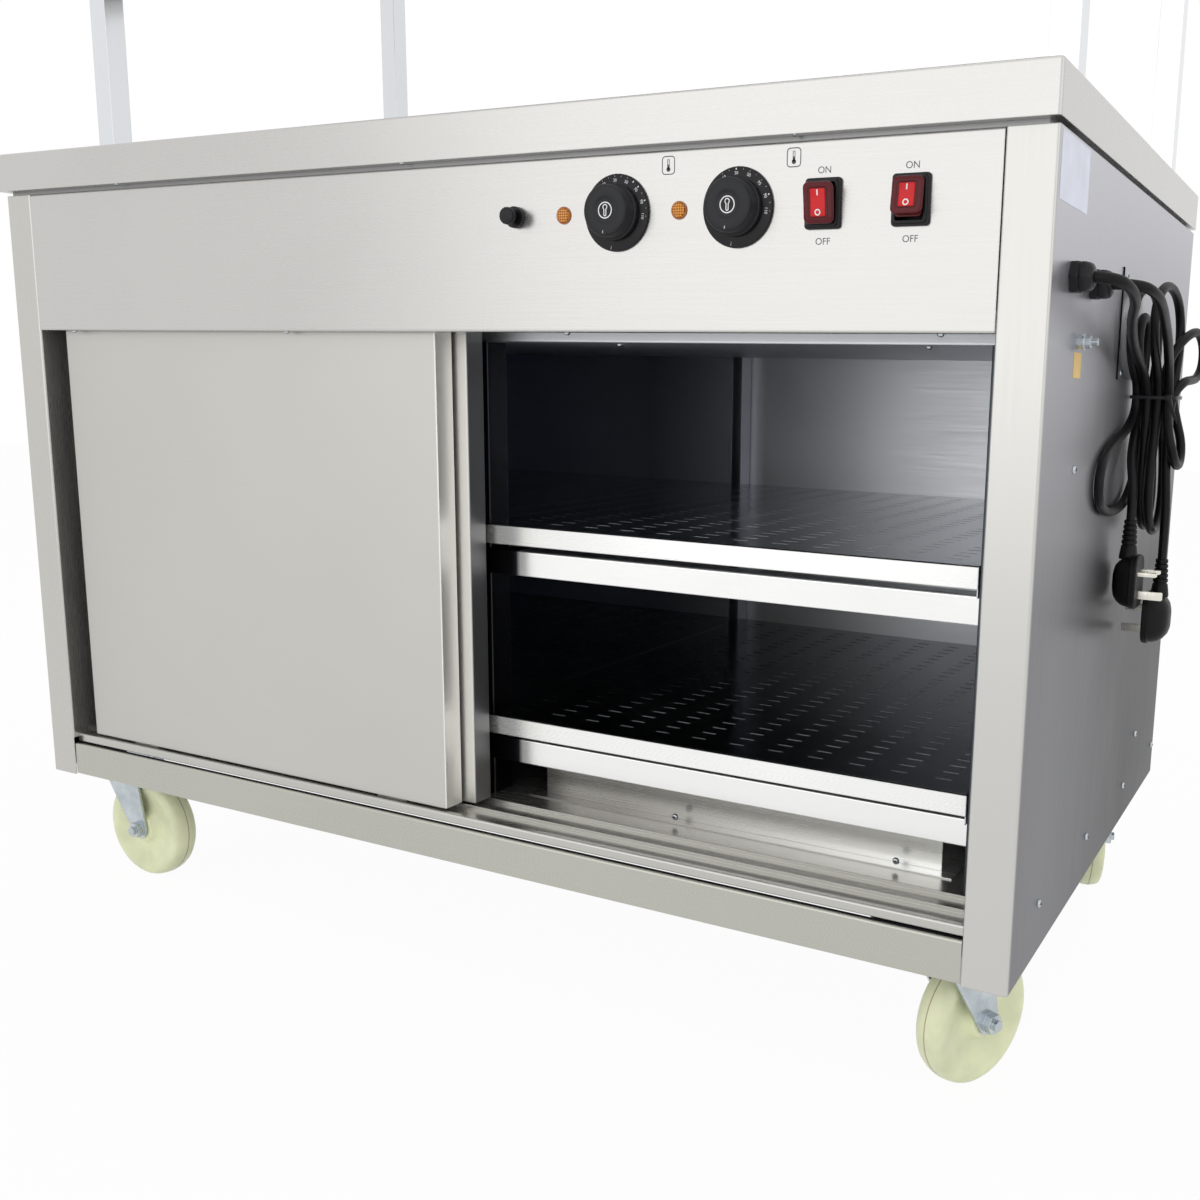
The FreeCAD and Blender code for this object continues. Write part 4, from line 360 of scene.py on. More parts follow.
class Shader(Tree):
    """A material's nodes, with short calls for those that the finishes use."""

    def __init__(self, name, colour, roughness, metallic=0.0):
        self.material = bpy.data.materials.new(name)
        super().__init__(self.material)
        self.surface = self.tree.nodes["Principled BSDF"]
        self.set("Base Color", (*colour, 1))
        self.set("Roughness", roughness)
        self.set("Metallic", metallic)

    def set(self, name, value):
        """Sets an input of the surface."""
        self.surface.inputs[name].default_value = value

    def place(self, scale=(1, 1, 1), turn=(0, 0, 0)):
        """Object coordinates, stretched and turned."""
        coordinates = self.node("ShaderNodeTexCoord")
        mapping = self.node("ShaderNodeMapping", {"Scale": scale, "Rotation": turn})
        self.link(coordinates.outputs["Object"], mapping.inputs["Vector"])
        return mapping.outputs["Vector"]

    def noise(self, scale, detail, stretch=(1, 1, 1)):
        texture = self.node("ShaderNodeTexNoise", {"Scale": scale, "Detail": detail})
        self.link(self.place(stretch), texture.inputs["Vector"])
        return texture.outputs["Fac"]

    def span(self, value, low, high, near=NOISE_LOW, far=NOISE_HIGH):
        """Maps a texture's values, near to far, onto low to high."""
        mapper = self.node("ShaderNodeMapRange",
                           {"From Min": near, "From Max": far, "To Min": low, "To Max": high})
        self.link(value, mapper.inputs["Value"])
        return mapper.outputs["Result"]

    def along(self, axis, start, end, mirrored=False):
        """Runs from 0 to 1 between two places on an axis, or two distances from its middle."""
        coordinates = self.node("ShaderNodeTexCoord")
        split = self.node("ShaderNodeSeparateXYZ")
        self.link(coordinates.outputs["Object"], split.inputs["Vector"])
        value = split.outputs[axis]
        if mirrored:
            value = self.calculate("ABSOLUTE", value)
        return self.span(value, 0, 1, start, end)

    def blend(self, value, first, second):
        """Mixes another node's colour with one that is given as numbers."""
        mixer = self.node("ShaderNodeMix", data_type="RGBA")
        self.link(value, mixer.inputs["Factor"])
        linked, fixed = [socket for socket in mixer.inputs if socket.type == "RGBA"]
        self.link(first, linked)
        fixed.default_value = (*second, 1)
        return [socket for socket in mixer.outputs if socket.type == "RGBA"][0]

    def tint(self, value, dark, light):
        """Base colour that runs from dark to light with a texture."""
        ramp = self.node("ShaderNodeValToRGB")
        ramp.color_ramp.elements[0].position = NOISE_LOW
        ramp.color_ramp.elements[1].position = NOISE_HIGH
        ramp.color_ramp.elements[0].color = (*dark, 1)
        ramp.color_ramp.elements[1].color = (*light, 1)
        self.link(value, ramp.inputs["Fac"])
        self.link(ramp.outputs["Color"], self.surface.inputs["Base Color"])
        return ramp.outputs["Color"]

    def bump(self, height, distance, strength, edge=0.0):
        bump = self.node("ShaderNodeBump", {"Strength": strength, "Distance": distance})
        self.link(height, bump.inputs["Height"])
        if edge:
            bevel = self.node("ShaderNodeBevel", {"Radius": edge}, samples=4)
            self.link(bevel.outputs["Normal"], bump.inputs["Normal"])
        self.link(bump.outputs["Normal"], self.surface.inputs["Normal"])


def steel(name, grain, colour=(0.57, 0.56, 0.53), roughness=0.28, contrast=0.02, edge=0.0012, metal=0.88,
          glancing=1.0, painted_fades=()):
    """Brushed stainless sheet: long scratches along the grain, faint smears and rounded folds.

    glancing is the colour, as a grey, of what it mirrors when seen nearly edge on. Each fade paints light or
    shade into the base colour: it gives what Shader.along takes, and the colour that it ends in."""
    shader = Shader(name, colour, roughness, metal)
    stretch = [260.0, 260.0, 260.0]
    stretch["XYZ".index(grain)] = 3.0
    lines = shader.noise(3.0, 4.0, stretch)
    smears = shader.noise(5.0, 3.0)
    fine = shader.span(lines, roughness - contrast, roughness + contrast)
    broad = shader.span(smears, -contrast * 0.8, contrast * 0.8)
    shader.link(shader.calculate("ADD", fine, broad), shader.surface.inputs["Roughness"])
    seen = shader.tint(smears, tuple(c * 0.965 for c in colour), colour)
    # Painted light and shade: each fade blends the base colour towards its own colour along an axis
    for *run, other in painted_fades:
        seen = shader.blend(shader.along(*run), seen, other)
        shader.link(seen, shader.surface.inputs["Base Color"])
    shader.bump(lines, 0.00002, 0.12, edge)
    shader.set("Specular Tint", (glancing, glancing, glancing, 1))
    return shader.material


def zinc():
    """Bright zinc plate with its cloudy blue cast."""
    shader = Shader("zinc", (0.5, 0.54, 0.57), 0.25, metallic=1.0)
    clouds = shader.noise(60.0, 4.0)
    shader.tint(clouds, (0.42, 0.46, 0.49), (0.58, 0.63, 0.66))
    shader.link(shader.span(clouds, 0.18, 0.32), shader.surface.inputs["Roughness"])
    shader.bump(clouds, 0.00004, 0.3, 0.0008)
    return shader.material


def plastic(name, colour, roughness, grain=900.0, depth=0.00003, edge=0.0005, coat=0.0, gloss=0.5):
    """Moulded plastic with a fine texture, a little uneven in gloss and colour."""
    shader = Shader(name, colour, roughness)
    texture = shader.noise(grain, 2.0)
    broad = shader.noise(30.0, 3.0)
    shader.link(shader.span(broad, roughness - 0.06, roughness + 0.06), shader.surface.inputs["Roughness"])
    shader.tint(broad, tuple(c * 0.88 for c in colour), tuple(min(1, c * 1.08) for c in colour))
    shader.bump(texture, depth, 0.5, edge)
    shader.set("Coat Weight", coat)
    shader.set("Specular IOR Level", gloss)
    return shader.material


def wool():
    shader = Shader("mineral_wool", (0.72, 0.64, 0.4), 0.95)
    fibres = shader.noise(2.0, 6.0, (40, 400, 400))
    shader.tint(fibres, (0.55, 0.48, 0.28), (0.8, 0.73, 0.5))
    shader.bump(fibres, 0.001, 0.8)
    return shader.material


def amber():
    """Amber lens with a moulded diamond pattern."""
    shader = Shader("amber_lens", (0.62, 0.22, 0.02), 0.22)
    cells = shader.node("ShaderNodeTexChecker", {"Scale": 650.0})
    shader.link(shader.place((1, 0, 1), (0, pi / 4, 0)), cells.inputs["Vector"])
    shader.tint(cells.outputs["Fac"], (0.36, 0.1, 0.008), (0.86, 0.36, 0.045))
    shader.bump(cells.outputs["Fac"], 0.0002, 0.5)
    shader.set("Transmission Weight", 0.1)
    shader.set("Specular IOR Level", 0.35)
    return shader.material


# Finishes
steel_x = steel("steel_along_x", "X", (0.575, 0.567, 0.55))
steel_rail = steel("steel_rail", "X", (0.5, 0.5, 0.45))
steel_z = steel("steel_upright", "Z")
steel_door = steel("steel_door", "X", (0.575, 0.565, 0.535), 0.42, 0.03)


def door_steel(node, *painted_fades):
    """A door's steel with painted light and shade along the end that shows beside the open half. Each fade
    starts and ends so far before that end.
    """
    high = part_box(node)[1].x
    return steel(node, "X", (0.575, 0.565, 0.535), 0.42, 0.03,
                 painted_fades=[("X", high - start, high - end, colour) for start, end, colour in painted_fades])


# Painted highlight along the front door's edge; on the rear door a painted lighter band and painted shade on
# its edge
front_door_painted_highlight = door_steel("front_door_skin", (DOOR_GAUGE, DOOR_GAUGE / 4, (1.0, 0.99, 0.94)))
rear_door_painted_light_and_shade = door_steel("rear_door_skin", (0.022, 0.014, (0.74, 0.73, 0.7)),
                             (DOOR_GAUGE, DOOR_GAUGE / 4, (0.28, 0.28, 0.28)))
# Side steel as a darker copy with painted reflection and shade: darker towards the back, lighter towards the
# top, painted highlight along the front edge
steel_side_painted_reflection = steel("steel_side_painted_reflection", "Z", (0.26, 0.26, 0.275), 0.33, 0.03, glancing=0.6,
                   painted_fades=[("Y", -0.25, 0.15, (0.08, 0.08, 0.086)), ("Z", 0.42, 0.82, (0.78, 0.78, 0.825)),
                          ("Y", FRONT + 0.006, FRONT + 0.001, (0.59, 0.585, 0.56))])
steel_inside = steel("steel_inside", "X", (0.82, 0.84, 0.88), 0.46, 0.04, metal=0.97)
# Lining steel with painted shade: darker below 0.44 m, towards the left and at the front
steel_lining_painted_shade = steel("steel_lining_painted_shade", "X", (0.84, 0.85, 0.88), 0.46, 0.04, metal=0.97,
                     painted_fades=[("Z", 0.46, 0.44, (0.6, 0.61, 0.63)), ("X", 0.04, -0.16, (0.26, 0.29, 0.37)),
                            ("Y", -0.24, -0.262, (0.08, 0.09, 0.11))])
# A darker copy of the steel: painted shade for the strip under the worktop
steel_frame_painted_shade = steel("steel_frame_painted_shade", "X", (0.3, 0.3, 0.3), 0.35)
# Cover steel with painted shade: darker towards the left
steel_cover_painted_shade = steel("steel_cover_painted_shade", "X", (0.88, 0.88, 0.86), 0.26,
                    painted_fades=[("X", 0.5, 0.15, (0.42, 0.41, 0.39))])
steel_track = steel("steel_track", "X", (0.54, 0.535, 0.505), 0.25)
# Support steel with painted shade: near black in the middle and darker towards the back
steel_support_painted_shade = steel("steel_support_painted_shade", "X", (0.93, 0.93, 0.92), 0.2, 0.03,
                      painted_fades=[("X", 0.047, 0.042, True, (0.03, 0.03, 0.036)),
                             ("Y", -0.2, 0.1, (0.3, 0.31, 0.34))])
steel_post = steel("steel_polished", "Z", (0.74, 0.76, 0.78), 0.09, 0.03)
bright_zinc = zinc()
black = plastic("black_plastic", (0.006, 0.006, 0.008), 0.38, gloss=0.3)
rubber = plastic("black_rubber", (0.003, 0.003, 0.004), 0.45, 500.0, 0.00006, gloss=0.22)
white = plastic("white_plastic", (0.78, 0.77, 0.7), 0.45)
grey = plastic("grey_plastic", (0.45, 0.45, 0.46), 0.5)
nylon = plastic("nylon", (0.82, 0.85, 0.56), 0.36, 300.0, 0.00008)
parting = plastic("parting_line", (0.46, 0.4, 0.26), 0.5)
red = plastic("red_plastic", (0.66, 0.01, 0.014), 0.25, gloss=0.3)
mat_red = plastic("heater_mat", (0.5, 0.16, 0.1), 0.7)
insulation = wool()
lens = amber()
lamp_rim = plastic("lamp_rim", (0.4, 0.11, 0.02), 0.3, coat=0.2)
knob_black = plastic("knob_black", (0.008, 0.0085, 0.011), 0.32, 1500.0, 0.00002, gloss=0.3)
smoked_red = plastic("smoked_red", (0.1, 0.006, 0.01), 0.22, gloss=0.25)
print_white = plastic("print_white", (0.86, 0.86, 0.86), 0.5)
print_grey = plastic("print_grey", (0.09, 0.09, 0.1), 0.5)
label_white = plastic("label_white", (0.74, 0.77, 0.88), 0.4)
label_yellow = plastic("label_yellow", (0.8, 0.52, 0.14), 0.4)
shadow = plastic("shadow_gap", (0.003, 0.003, 0.004), 0.6, gloss=0.1)
pin_metal = steel("pin_metal", "Z", (0.8, 0.78, 0.7), 0.3, 0.05, 0.0)
# Shelf steel in shaded copies: painted shade, the lower shelf darker than the upper
shelf_upper_painted_shade = steel("shelf_upper_painted_shade", "X", (0.42, 0.44, 0.47), 0.18, 0.03, metal=1.0)
shelf_lower_painted_deep_shade = steel("shelf_lower_painted_deep_shade", "X", (0.16, 0.17, 0.185), 0.18, 0.03, metal=1.0)
# A lit, near-white copy of the steel for the boards' front folds: painted highlight
flange_painted_highlight = steel("flange_steel_painted_highlight", "X", (0.93, 0.93, 0.92), 0.26, 0.03)
element = plastic("element_sheath", (0.12, 0.11, 0.1), 0.5)

# Finish of each piece of the frame that no piece below replaces. The rest of them are zinc-plated
FINISHES = {
    "worktop": steel_x, "control_fascia": steel_x, "bottom_rail": steel_rail, "canopy": steel_x,
    "side_panel_left": steel_z, "side_panel_right": steel_side_painted_reflection, "back_panel": steel_x,
    "inner_linings": steel_lining_painted_shade, "base_pan": steel_track, "ceiling_lining": steel_inside,
    "shelf_supports": steel_support_painted_shade, "heater_covers": steel_cover_painted_shade, "gantry_posts": steel_post,
    "lamp_trough": steel_x, "front_door_skin": front_door_painted_highlight, "rear_door_skin": rear_door_painted_light_and_shade,
    "front_door_liner": steel_door, "rear_door_liner": steel_door, "service_cover": steel_side_painted_reflection,
    "top_frame": steel_frame_painted_shade, "door_track": steel_track, "insulation_slabs": insulation,
    "heating_elements": element, "worktop_heater": mat_red, "thermostats": grey, "thermal_cutout": black,
    "terminal_block": white, "front_door_glides": white, "rear_door_glides": white}


def finish_nodes():
    for name, item in frame["nodes"].items():
        item.data.materials.clear()
        item.data.materials.append(FINISHES.get(name, bright_zinc))


def on_front(x, z=CONTROL_HEIGHT):
    """Places a fitting on the fascia: its x and y lie in the face and its z points out."""
    return Matrix(((1, 0, 0, x), (0, 0, -1, FRONT), (0, 1, 0, z), (0, 0, 0, 1)))


def on_side(y, z):
    """The same on the right-hand panel."""
    return Matrix(((0, 0, 1, SIDE), (1, 0, 0, y), (0, 1, 0, z), (0, 0, 0, 1)))


def arc(x, y, radius, start, end, steps):
    """Points round a middle, from turn to turn."""
    turns = [start + (end - start) * step / steps for step in range(steps + 1)]
    return [(x + cos(turn) * radius, y + sin(turn) * radius) for turn in turns]


def polar(reaches):
    """Points all round, one for each reach."""
    turns = [tau * step / len(reaches) for step in range(len(reaches))]
    return [(cos(turn) * reach, sin(turn) * reach) for turn, reach in zip(turns, reaches)]


def ring(diameter, steps=ROUND):
    return polar([diameter / 2] * steps)


def rays(turn, reaches):
    """Places along a ray, turned clockwise from the top."""
    return [(sin(turn) * reach, cos(turn) * reach) for reach in reaches]


def fluted(diameter, depth, ribs):
    """A round outline with grip ribs."""
    return polar([diameter / 2 - (depth if step % 4 > 1 else 0) for step in range(ribs * 4)])


def hexagon(across_corners, limit, steps=72):
    """A hexagon whose corners are cut back to a circle of the limit's diameter."""
    flat = across_corners / 2 * cos(pi / 6)
    turns = [tau * step / steps for step in range(steps)]
    return polar([min(limit / 2, flat / cos(turn % (pi / 3) - pi / 6)) for turn in turns])


def rounded(width, height, radius, steps=4):
    """A rounded rectangle, up its right side and down its left one, with a point halfway up each."""
    across, up = width / 2 - radius, height / 2 - radius
    points = []
    for index, (x, y) in enumerate(((across, -up), (across, up), (-across, up), (-across, -up))):
        if index in (1, 3):
            points.append((width / 2 if index == 1 else -width / 2, 0))
        points += arc(x, y, radius, pi / 2 * (index - 1), pi / 2 * index, steps)
    return points


def level(height, x, y):
    """A height, which may depend on the place."""
    return height(x, y) if callable(height) else height


class Piece:
    """A mesh in the making, of solids and printed marks that each have their own finish.

    Heights are numbers, or functions of the place in the face."""

    def __init__(self, name, at=Matrix.Identity(4)):
        self.name = name
        self.at = at
        self.mesh = bmesh.new()
        self.finishes = []

    def add(self, corners, faces, finish):
        if finish not in self.finishes:
            self.finishes.append(finish)
        made = [self.mesh.verts.new(self.at @ Vector(corner)) for corner in corners]
        for face in faces:
            self.mesh.faces.new([made[index] for index in face]).material_index = self.finishes.index(finish)

    def stack(self, layers, finish, closed=False, strips=False):
        """A skin over outlines one above the other, closed into a loop or capped at both ends."""
        count = len(layers[0][0])
        corners = [(x, y, level(height, x, y)) for shape, height in layers for x, y in shape]
        faces = []
        for low in range(len(layers) if closed else len(layers) - 1):
            high = (low + 1) % len(layers)
            for index in range(count):
                after = (index + 1) % count
                faces.append((low * count + index, low * count + after, high * count + after,
                              high * count + index))
        top = (len(layers) - 1) * count
        if closed:
            caps = []
        elif strips:
            caps = [(start + index, start + index + 1, start + count - 2 - index, start + count - 1 - index)
                    for start in (0, top) for index in range(count // 2 - 1)]
        else:
            caps = [tuple(range(count)), tuple(range(top, top + count))]
        self.add(corners, faces + caps, finish)

    def block(self, shape, low, high, finish):
        """A straight solid of one outline."""
        self.stack([(shape, low), (shape, high)], finish, strips=True)

    def turned(self, profile, finish, closed=False, steps=ROUND):
        """A round solid from diameters and heights."""
        self.stack([(ring(diameter, steps), height) for diameter, height in profile], finish, closed)

    def stroke(self, points, width, height, finish, closed=True):
        """A printed line along points in the face."""
        count = len(points)
        corners = []
        for index, (x, y) in enumerate(points):
            before = points[index - 1] if closed or index else points[0]
            after = points[(index + 1) % count] if closed or index < count - 1 else points[-1]
            along = Vector((after[0] - before[0], after[1] - before[1])).normalized()
            for way in (-1, 1):
                side = (x - along.y * width / 2 * way, y + along.x * width / 2 * way)
                corners.append((*side, level(height, *side)))
        faces = [(index * 2, index * 2 + 1, (index * 2 + 3) % (count * 2), (index * 2 + 2) % (count * 2))
                 for index in range(count if closed else count - 1)]
        self.add(corners, faces, finish)

    def lettering(self, text, size, place, height, finish, turn=0.0):
        """Printed figures or letters, centred on a place and turned about it."""
        curve = bpy.data.curves.new("lettering", "FONT")
        curve.body = text
        curve.size = size
        curve.align_x = "CENTER"
        curve.align_y = "CENTER"
        holder = bpy.data.objects.new("lettering", curve)
        outlines = holder.to_mesh()
        put = Matrix.Translation((*place, height)) @ Matrix.Rotation(turn, 4, "Z")
        self.add([put @ vertex.co for vertex in outlines.vertices],
                 [tuple(face.vertices) for face in outlines.polygons], finish)
        holder.to_mesh_clear()
        bpy.data.objects.remove(holder)

    def place(self, body, slot, replaced=()):
        """Makes the object, which rides on its body."""
        bmesh.ops.recalc_face_normals(self.mesh, faces=self.mesh.faces[:])
        data = bpy.data.meshes.new(self.name)
        self.mesh.to_mesh(data)
        self.mesh.free()
        for finish in self.finishes:
            data.materials.append(finish)
        data.shade_smooth()
        data.set_sharp_from_angle(angle=SMOOTH_ANGLE)
        item = make(self.name, data)
        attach(item, body)
        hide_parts(*replaced)
        return item


def dial_rings():
    """Black rings round the knobs, with ticks and figures on the right-hand arc."""
    piece = Piece("dial_rings")
    for place in KNOB_PLACES:
        piece.at = on_front(place)
        piece.turned(DIAL_PROFILE, black, closed=True)
        for turn in DIAL_TURNS:
            piece.stroke(rays(turn, DIAL_TICK), DIAL_TICK_WIDTH, DIAL_PRINT, print_white, closed=False)
        for figure, turn in zip(DIAL_FIGURES, DIAL_TURNS[::2]):
            middle = rays(turn, (DIAL_FIGURE_REACH,))[0]
            piece.lettering(str(figure), DIAL_FIGURE_SIZE, middle, DIAL_PRINT, print_white, -turn)
        piece.stroke(rays(DIAL_OFF, DIAL_OFF_TICK), DIAL_TICK_WIDTH, DIAL_PRINT, print_white, closed=False)
    piece.place("cabinet", "black_plastic", ["dial_bezels"])


def thermometer(width, length, steps=10):
    """Outline of a thermometer sign: a wide bulb above a narrow stem."""
    bulb = width / 2
    stem = width / 4
    top = length / 2 - bulb
    foot = stem - length / 2
    opening = asin(stem / bulb)
    return (arc(0, top, bulb, opening - pi / 2, pi * 1.5 - opening, steps)
            + arc(0, foot, stem, pi, tau, steps))


def knob(name, place):
    """Round knob in two tiers with a shallow dish, a ringed sign and a pointer."""
    piece = Piece(name + "_cap", on_front(place))
    piece.turned(KNOB_PROFILE, knob_black, steps=ROUND_FINE)
    piece.stroke(ring(KNOB_SIGN_RING), 0.0009, KNOB_PRINT, print_white)
    piece.stroke(thermometer(*KNOB_SIGN), 0.0008, KNOB_PRINT, print_white)
    piece.stroke(rays(KNOB_TURN, KNOB_POINTER), 0.001, KNOB_POINTER_HEIGHT, print_white, closed=False)
    piece.place(name, "black_plastic", [name])


def lamp_lenses():
    """Faceted lenses in their rims, with the lamp bodies behind the fascia."""
    piece = Piece("lamp_lenses")
    for place in LAMP_PLACES:
        piece.at = on_front(place)
        piece.turned(LAMP_RIM, lamp_rim)
        piece.turned(LAMP_LENS, lens)
    piece.place("cabinet", "amber_lens", ["pilot_lamps"])


def reset_cap():
    """Push button with a ribbed rim on a thinner neck, and its round collar on the fascia."""
    piece = Piece("reset_cap", on_front(RESET_PLACE))
    piece.turned(RESET_NECK, black)
    piece.stack([(fluted(diameter, depth, RESET_RIBS), height) for diameter, depth, height in RESET_RIM],
                black)
    piece.place("reset_button", "black_plastic", ["reset_button"])
    piece = Piece("reset_collar", on_front(RESET_PLACE))
    piece.turned(RESET_COLLAR, black, closed=True)
    piece.place("cabinet", "black_plastic")


def switch_surrounds():
    """Stepped black frames with the switch bodies behind the fascia."""
    piece = Piece("switch_surrounds")
    mouth = rounded(*SWITCH_MOUTH)
    body = rounded(*SWITCH_BODY)
    steps = [(rounded(*outline), height) for *outline, height in SWITCH_STEPS]
    for place in SWITCH_PLACES:
        piece.at = on_front(place)
        piece.stack([(mouth, SWITCH_FLOOR), (body, SWITCH_FLOOR), (body, 0), *steps,
                     (mouth, SWITCH_STEPS[-1][-1])], black, closed=True)
        piece.block(body, SWITCH_BACK, SWITCH_FLOOR + 0.0002, black)
    piece.place("cabinet", "black_plastic", ["switch_frames"])


def rocker(name, place, pressed_up):
    """Red rocker under a thick smoked cover on a narrower neck, marked with a bar and a ring."""
    piece = Piece(name + "_cap", on_front(place))
    ends = (ROCKER_HIGH, ROCKER_LOW) if pressed_up else (ROCKER_LOW, ROCKER_HIGH)
    tall, shift = ROCKER_UP if pressed_up else ROCKER_DOWN

    def face(lift):
        def height(_, y):
            end = ends[1] if y > 0 else ends[0]
            return ROCKER_MIDDLE + (end - ROCKER_MIDDLE) * abs(y) / ROCKER_HALF + lift
        return height

    piece.stack([(rounded(*outline), height) for *outline, height in ROCKER_NECK], smoked_red, strips=True)
    piece.at = piece.at @ Matrix.Translation((0, shift, 0))
    for layers, finish in ((ROCKER_COVER, smoked_red), (ROCKER_CORE, red)):
        piece.stack([(rounded(width, tall - less, radius), face(lift))
                     for width, less, radius, lift in layers], finish, strips=True)
    mark = tall / 2 - ROCKER_MARK_INSET
    bar = [(x, y + mark) for x, y in rounded(*ROCKER_BAR)]
    piece.stack([(bar, face(0)), (bar, face(ROCKER_MARK_RISE))], print_white)
    piece.stroke([(x, y - mark) for x, y in ring(ROCKER_RING, ROUND_SMALL)], 0.001, face(ROCKER_MARK_RISE),
                 print_white)
    piece.place(name, "red_plastic", [name])


def printed_signs():
    """ON and OFF at the switches and a thermometer sign beside each knob."""
    piece = Piece("printed_signs")
    for place in SWITCH_PLACES:
        piece.at = on_front(place)
        for word, up in SWITCH_WORDS:
            piece.lettering(word, SWITCH_LETTER, (0, up), PRINT_LIFT, print_grey)
    for place in SIGN_PLACES:
        piece.at = on_front(place, SIGN_HEIGHT)
        piece.stroke(rounded(*SIGN_FRAME), 0.0008, PRINT_LIFT, print_grey)
        piece.at = piece.at @ Matrix.Rotation(pi, 4, "Z")
        piece.stroke(thermometer(*SIGN_TUBE), 0.0006, PRINT_LIFT, print_grey)
        piece.stroke(SIGN_COLUMN, 0.0014, PRINT_LIFT, print_grey, closed=False)
        piece.at = piece.at @ Matrix.Translation((0, 0.0032, 0))
        piece.stroke(ring(SIGN_BULB, 16), SIGN_BULB, PRINT_LIFT, print_grey)
    piece.place("cabinet", "black_plastic")


def screw(piece, diameter):
    """Domed screw head with its crossed recess as a painted shade mark, in a thin painted shadow line where
    it meets the sheet.
    """
    for profile, finish in ((SCREW_SHADOW_RING, shadow), (SCREW_DOME, bright_zinc)):
        piece.turned([(diameter * share, height) for share, height in profile], finish, steps=ROUND_SMALL)
    for x, y in ((diameter, 0), (0, diameter)):
        piece.stroke([(x * way, y * way) for way in SCREW_CROSS], diameter * SCREW_CROSS_WIDTH,
                     SCREW_CROSS_HEIGHT, shadow, closed=False)


def screws():
    """Screw heads on the right panel, under the fascia and the worktop, and in the opening."""
    piece = Piece("screw_heads")
    for place, height in SIDE_SCREWS:
        piece.at = on_side(place, height)
        screw(piece, SCREW_SIDE)
    for place in COVER_SCREWS:
        set_back = Matrix.Translation((0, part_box("heater_covers")[0].y - FRONT, 0))
        piece.at = set_back @ on_front(place, COVER_SCREW_HEIGHT)
        screw(piece, SCREW_COVER)
    for places, depth, height in SCREW_ROWS:
        for place in places:
            piece.at = Matrix.Translation((place, depth, height)) @ Matrix.Rotation(pi, 4, "X")
            screw(piece, SCREW_HANGING)
    piece.place("cabinet", "zinc_plated_steel")


def side_details():
    """Blank label plates, a painted shadow strip above the bottom rail and a painted shadow line along the
    cover's edge.
    """
    piece = Piece("label_plates")
    for (y, z, *outline), finish in zip(LABELS, (label_white, label_yellow)):
        piece.at = on_side(y, z)
        piece.block(rounded(*outline), PLATE_LIFT, LABEL_THICKNESS, finish)
    piece.place("cabinet", "white_plastic")
    piece = Piece("rail_shadow_strip", Matrix.Translation((0, RAIL_HIGH.y - RAIL_SHADOW_GAUGE / 2, 0)))
    piece.block(rounded(RAIL_HIGH.x * 2, RAIL_SHADOW_GAUGE, RAIL_SHADOW_GAUGE / 3), RAIL_HIGH.z - RAIL_SHADOW_GAUGE / 6,
                RAIL_HIGH.z + RAIL_SHADOW_GAUGE, shadow)
    piece.place("cabinet", "black_rubber")
    # Painted shadow line along the service cover's edge
    piece = Piece("cover_painted_shadow", on_side(*COVER_SHADOW_PLACE))
    piece.block(rounded(*COVER_SHADOW_LINE), PLATE_LIFT, COVER_SHADOW_RISE, shadow)
    piece.place("cabinet", "black_plastic")


def glands():
    """Hexagon, thin seal and domed cap, with a barrel and a locknut behind the panel."""
    piece = Piece("glands")
    for place in GLAND_PLACES:
        piece.at = on_side(place, GLAND_HEIGHT)
        for layers in GLAND_HEXAGONS:
            piece.stack([(hexagon(corners, limit), height) for corners, limit, height in layers], black)
        piece.turned(GLAND_SEAL, black)
        piece.turned(GLAND_BARREL, black)
    piece.place("cabinet", "black_plastic", ["cord_glands"])


def tie():
    """Thin tie drawn round the strands, with its head and pointed tail."""
    low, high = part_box("cable_tie")
    middle = (low + high) / 2
    across, along = TIE_SPAN
    piece = Piece("tie_loop", Matrix.Translation(middle))
    inner = rounded(across, along, TIE_RADIUS)
    outer = rounded(across + TIE_STRAP * 2, along + TIE_STRAP * 2, TIE_RADIUS + TIE_STRAP)
    piece.stack([(inner, -TIE_HALF_HEIGHT), (outer, -TIE_HALF_HEIGHT), (outer, TIE_HALF_HEIGHT),
                 (inner, TIE_HALF_HEIGHT)], black, closed=True)
    piece.at = Matrix.Translation((middle.x + across / 2 - 0.006, middle.y - along / 2 - 0.0022, middle.z))
    piece.block(rounded(*TIE_HEAD), -TIE_HEAD_HALF, TIE_HEAD_HALF, black)
    piece.at = piece.at @ Matrix.Rotation(TIE_TAIL_TURN, 4, "Y")
    tail = rounded(0.003, TIE_STRAP, 0.0004)
    point = rounded(0.0008, 0.0008, 0.0003)
    piece.stack([(tail, 0), (tail, TIE_TAIL[0]), (point, TIE_TAIL[1])], black, strips=True)
    piece.place("cabinet", "black_plastic", ["cable_tie"])


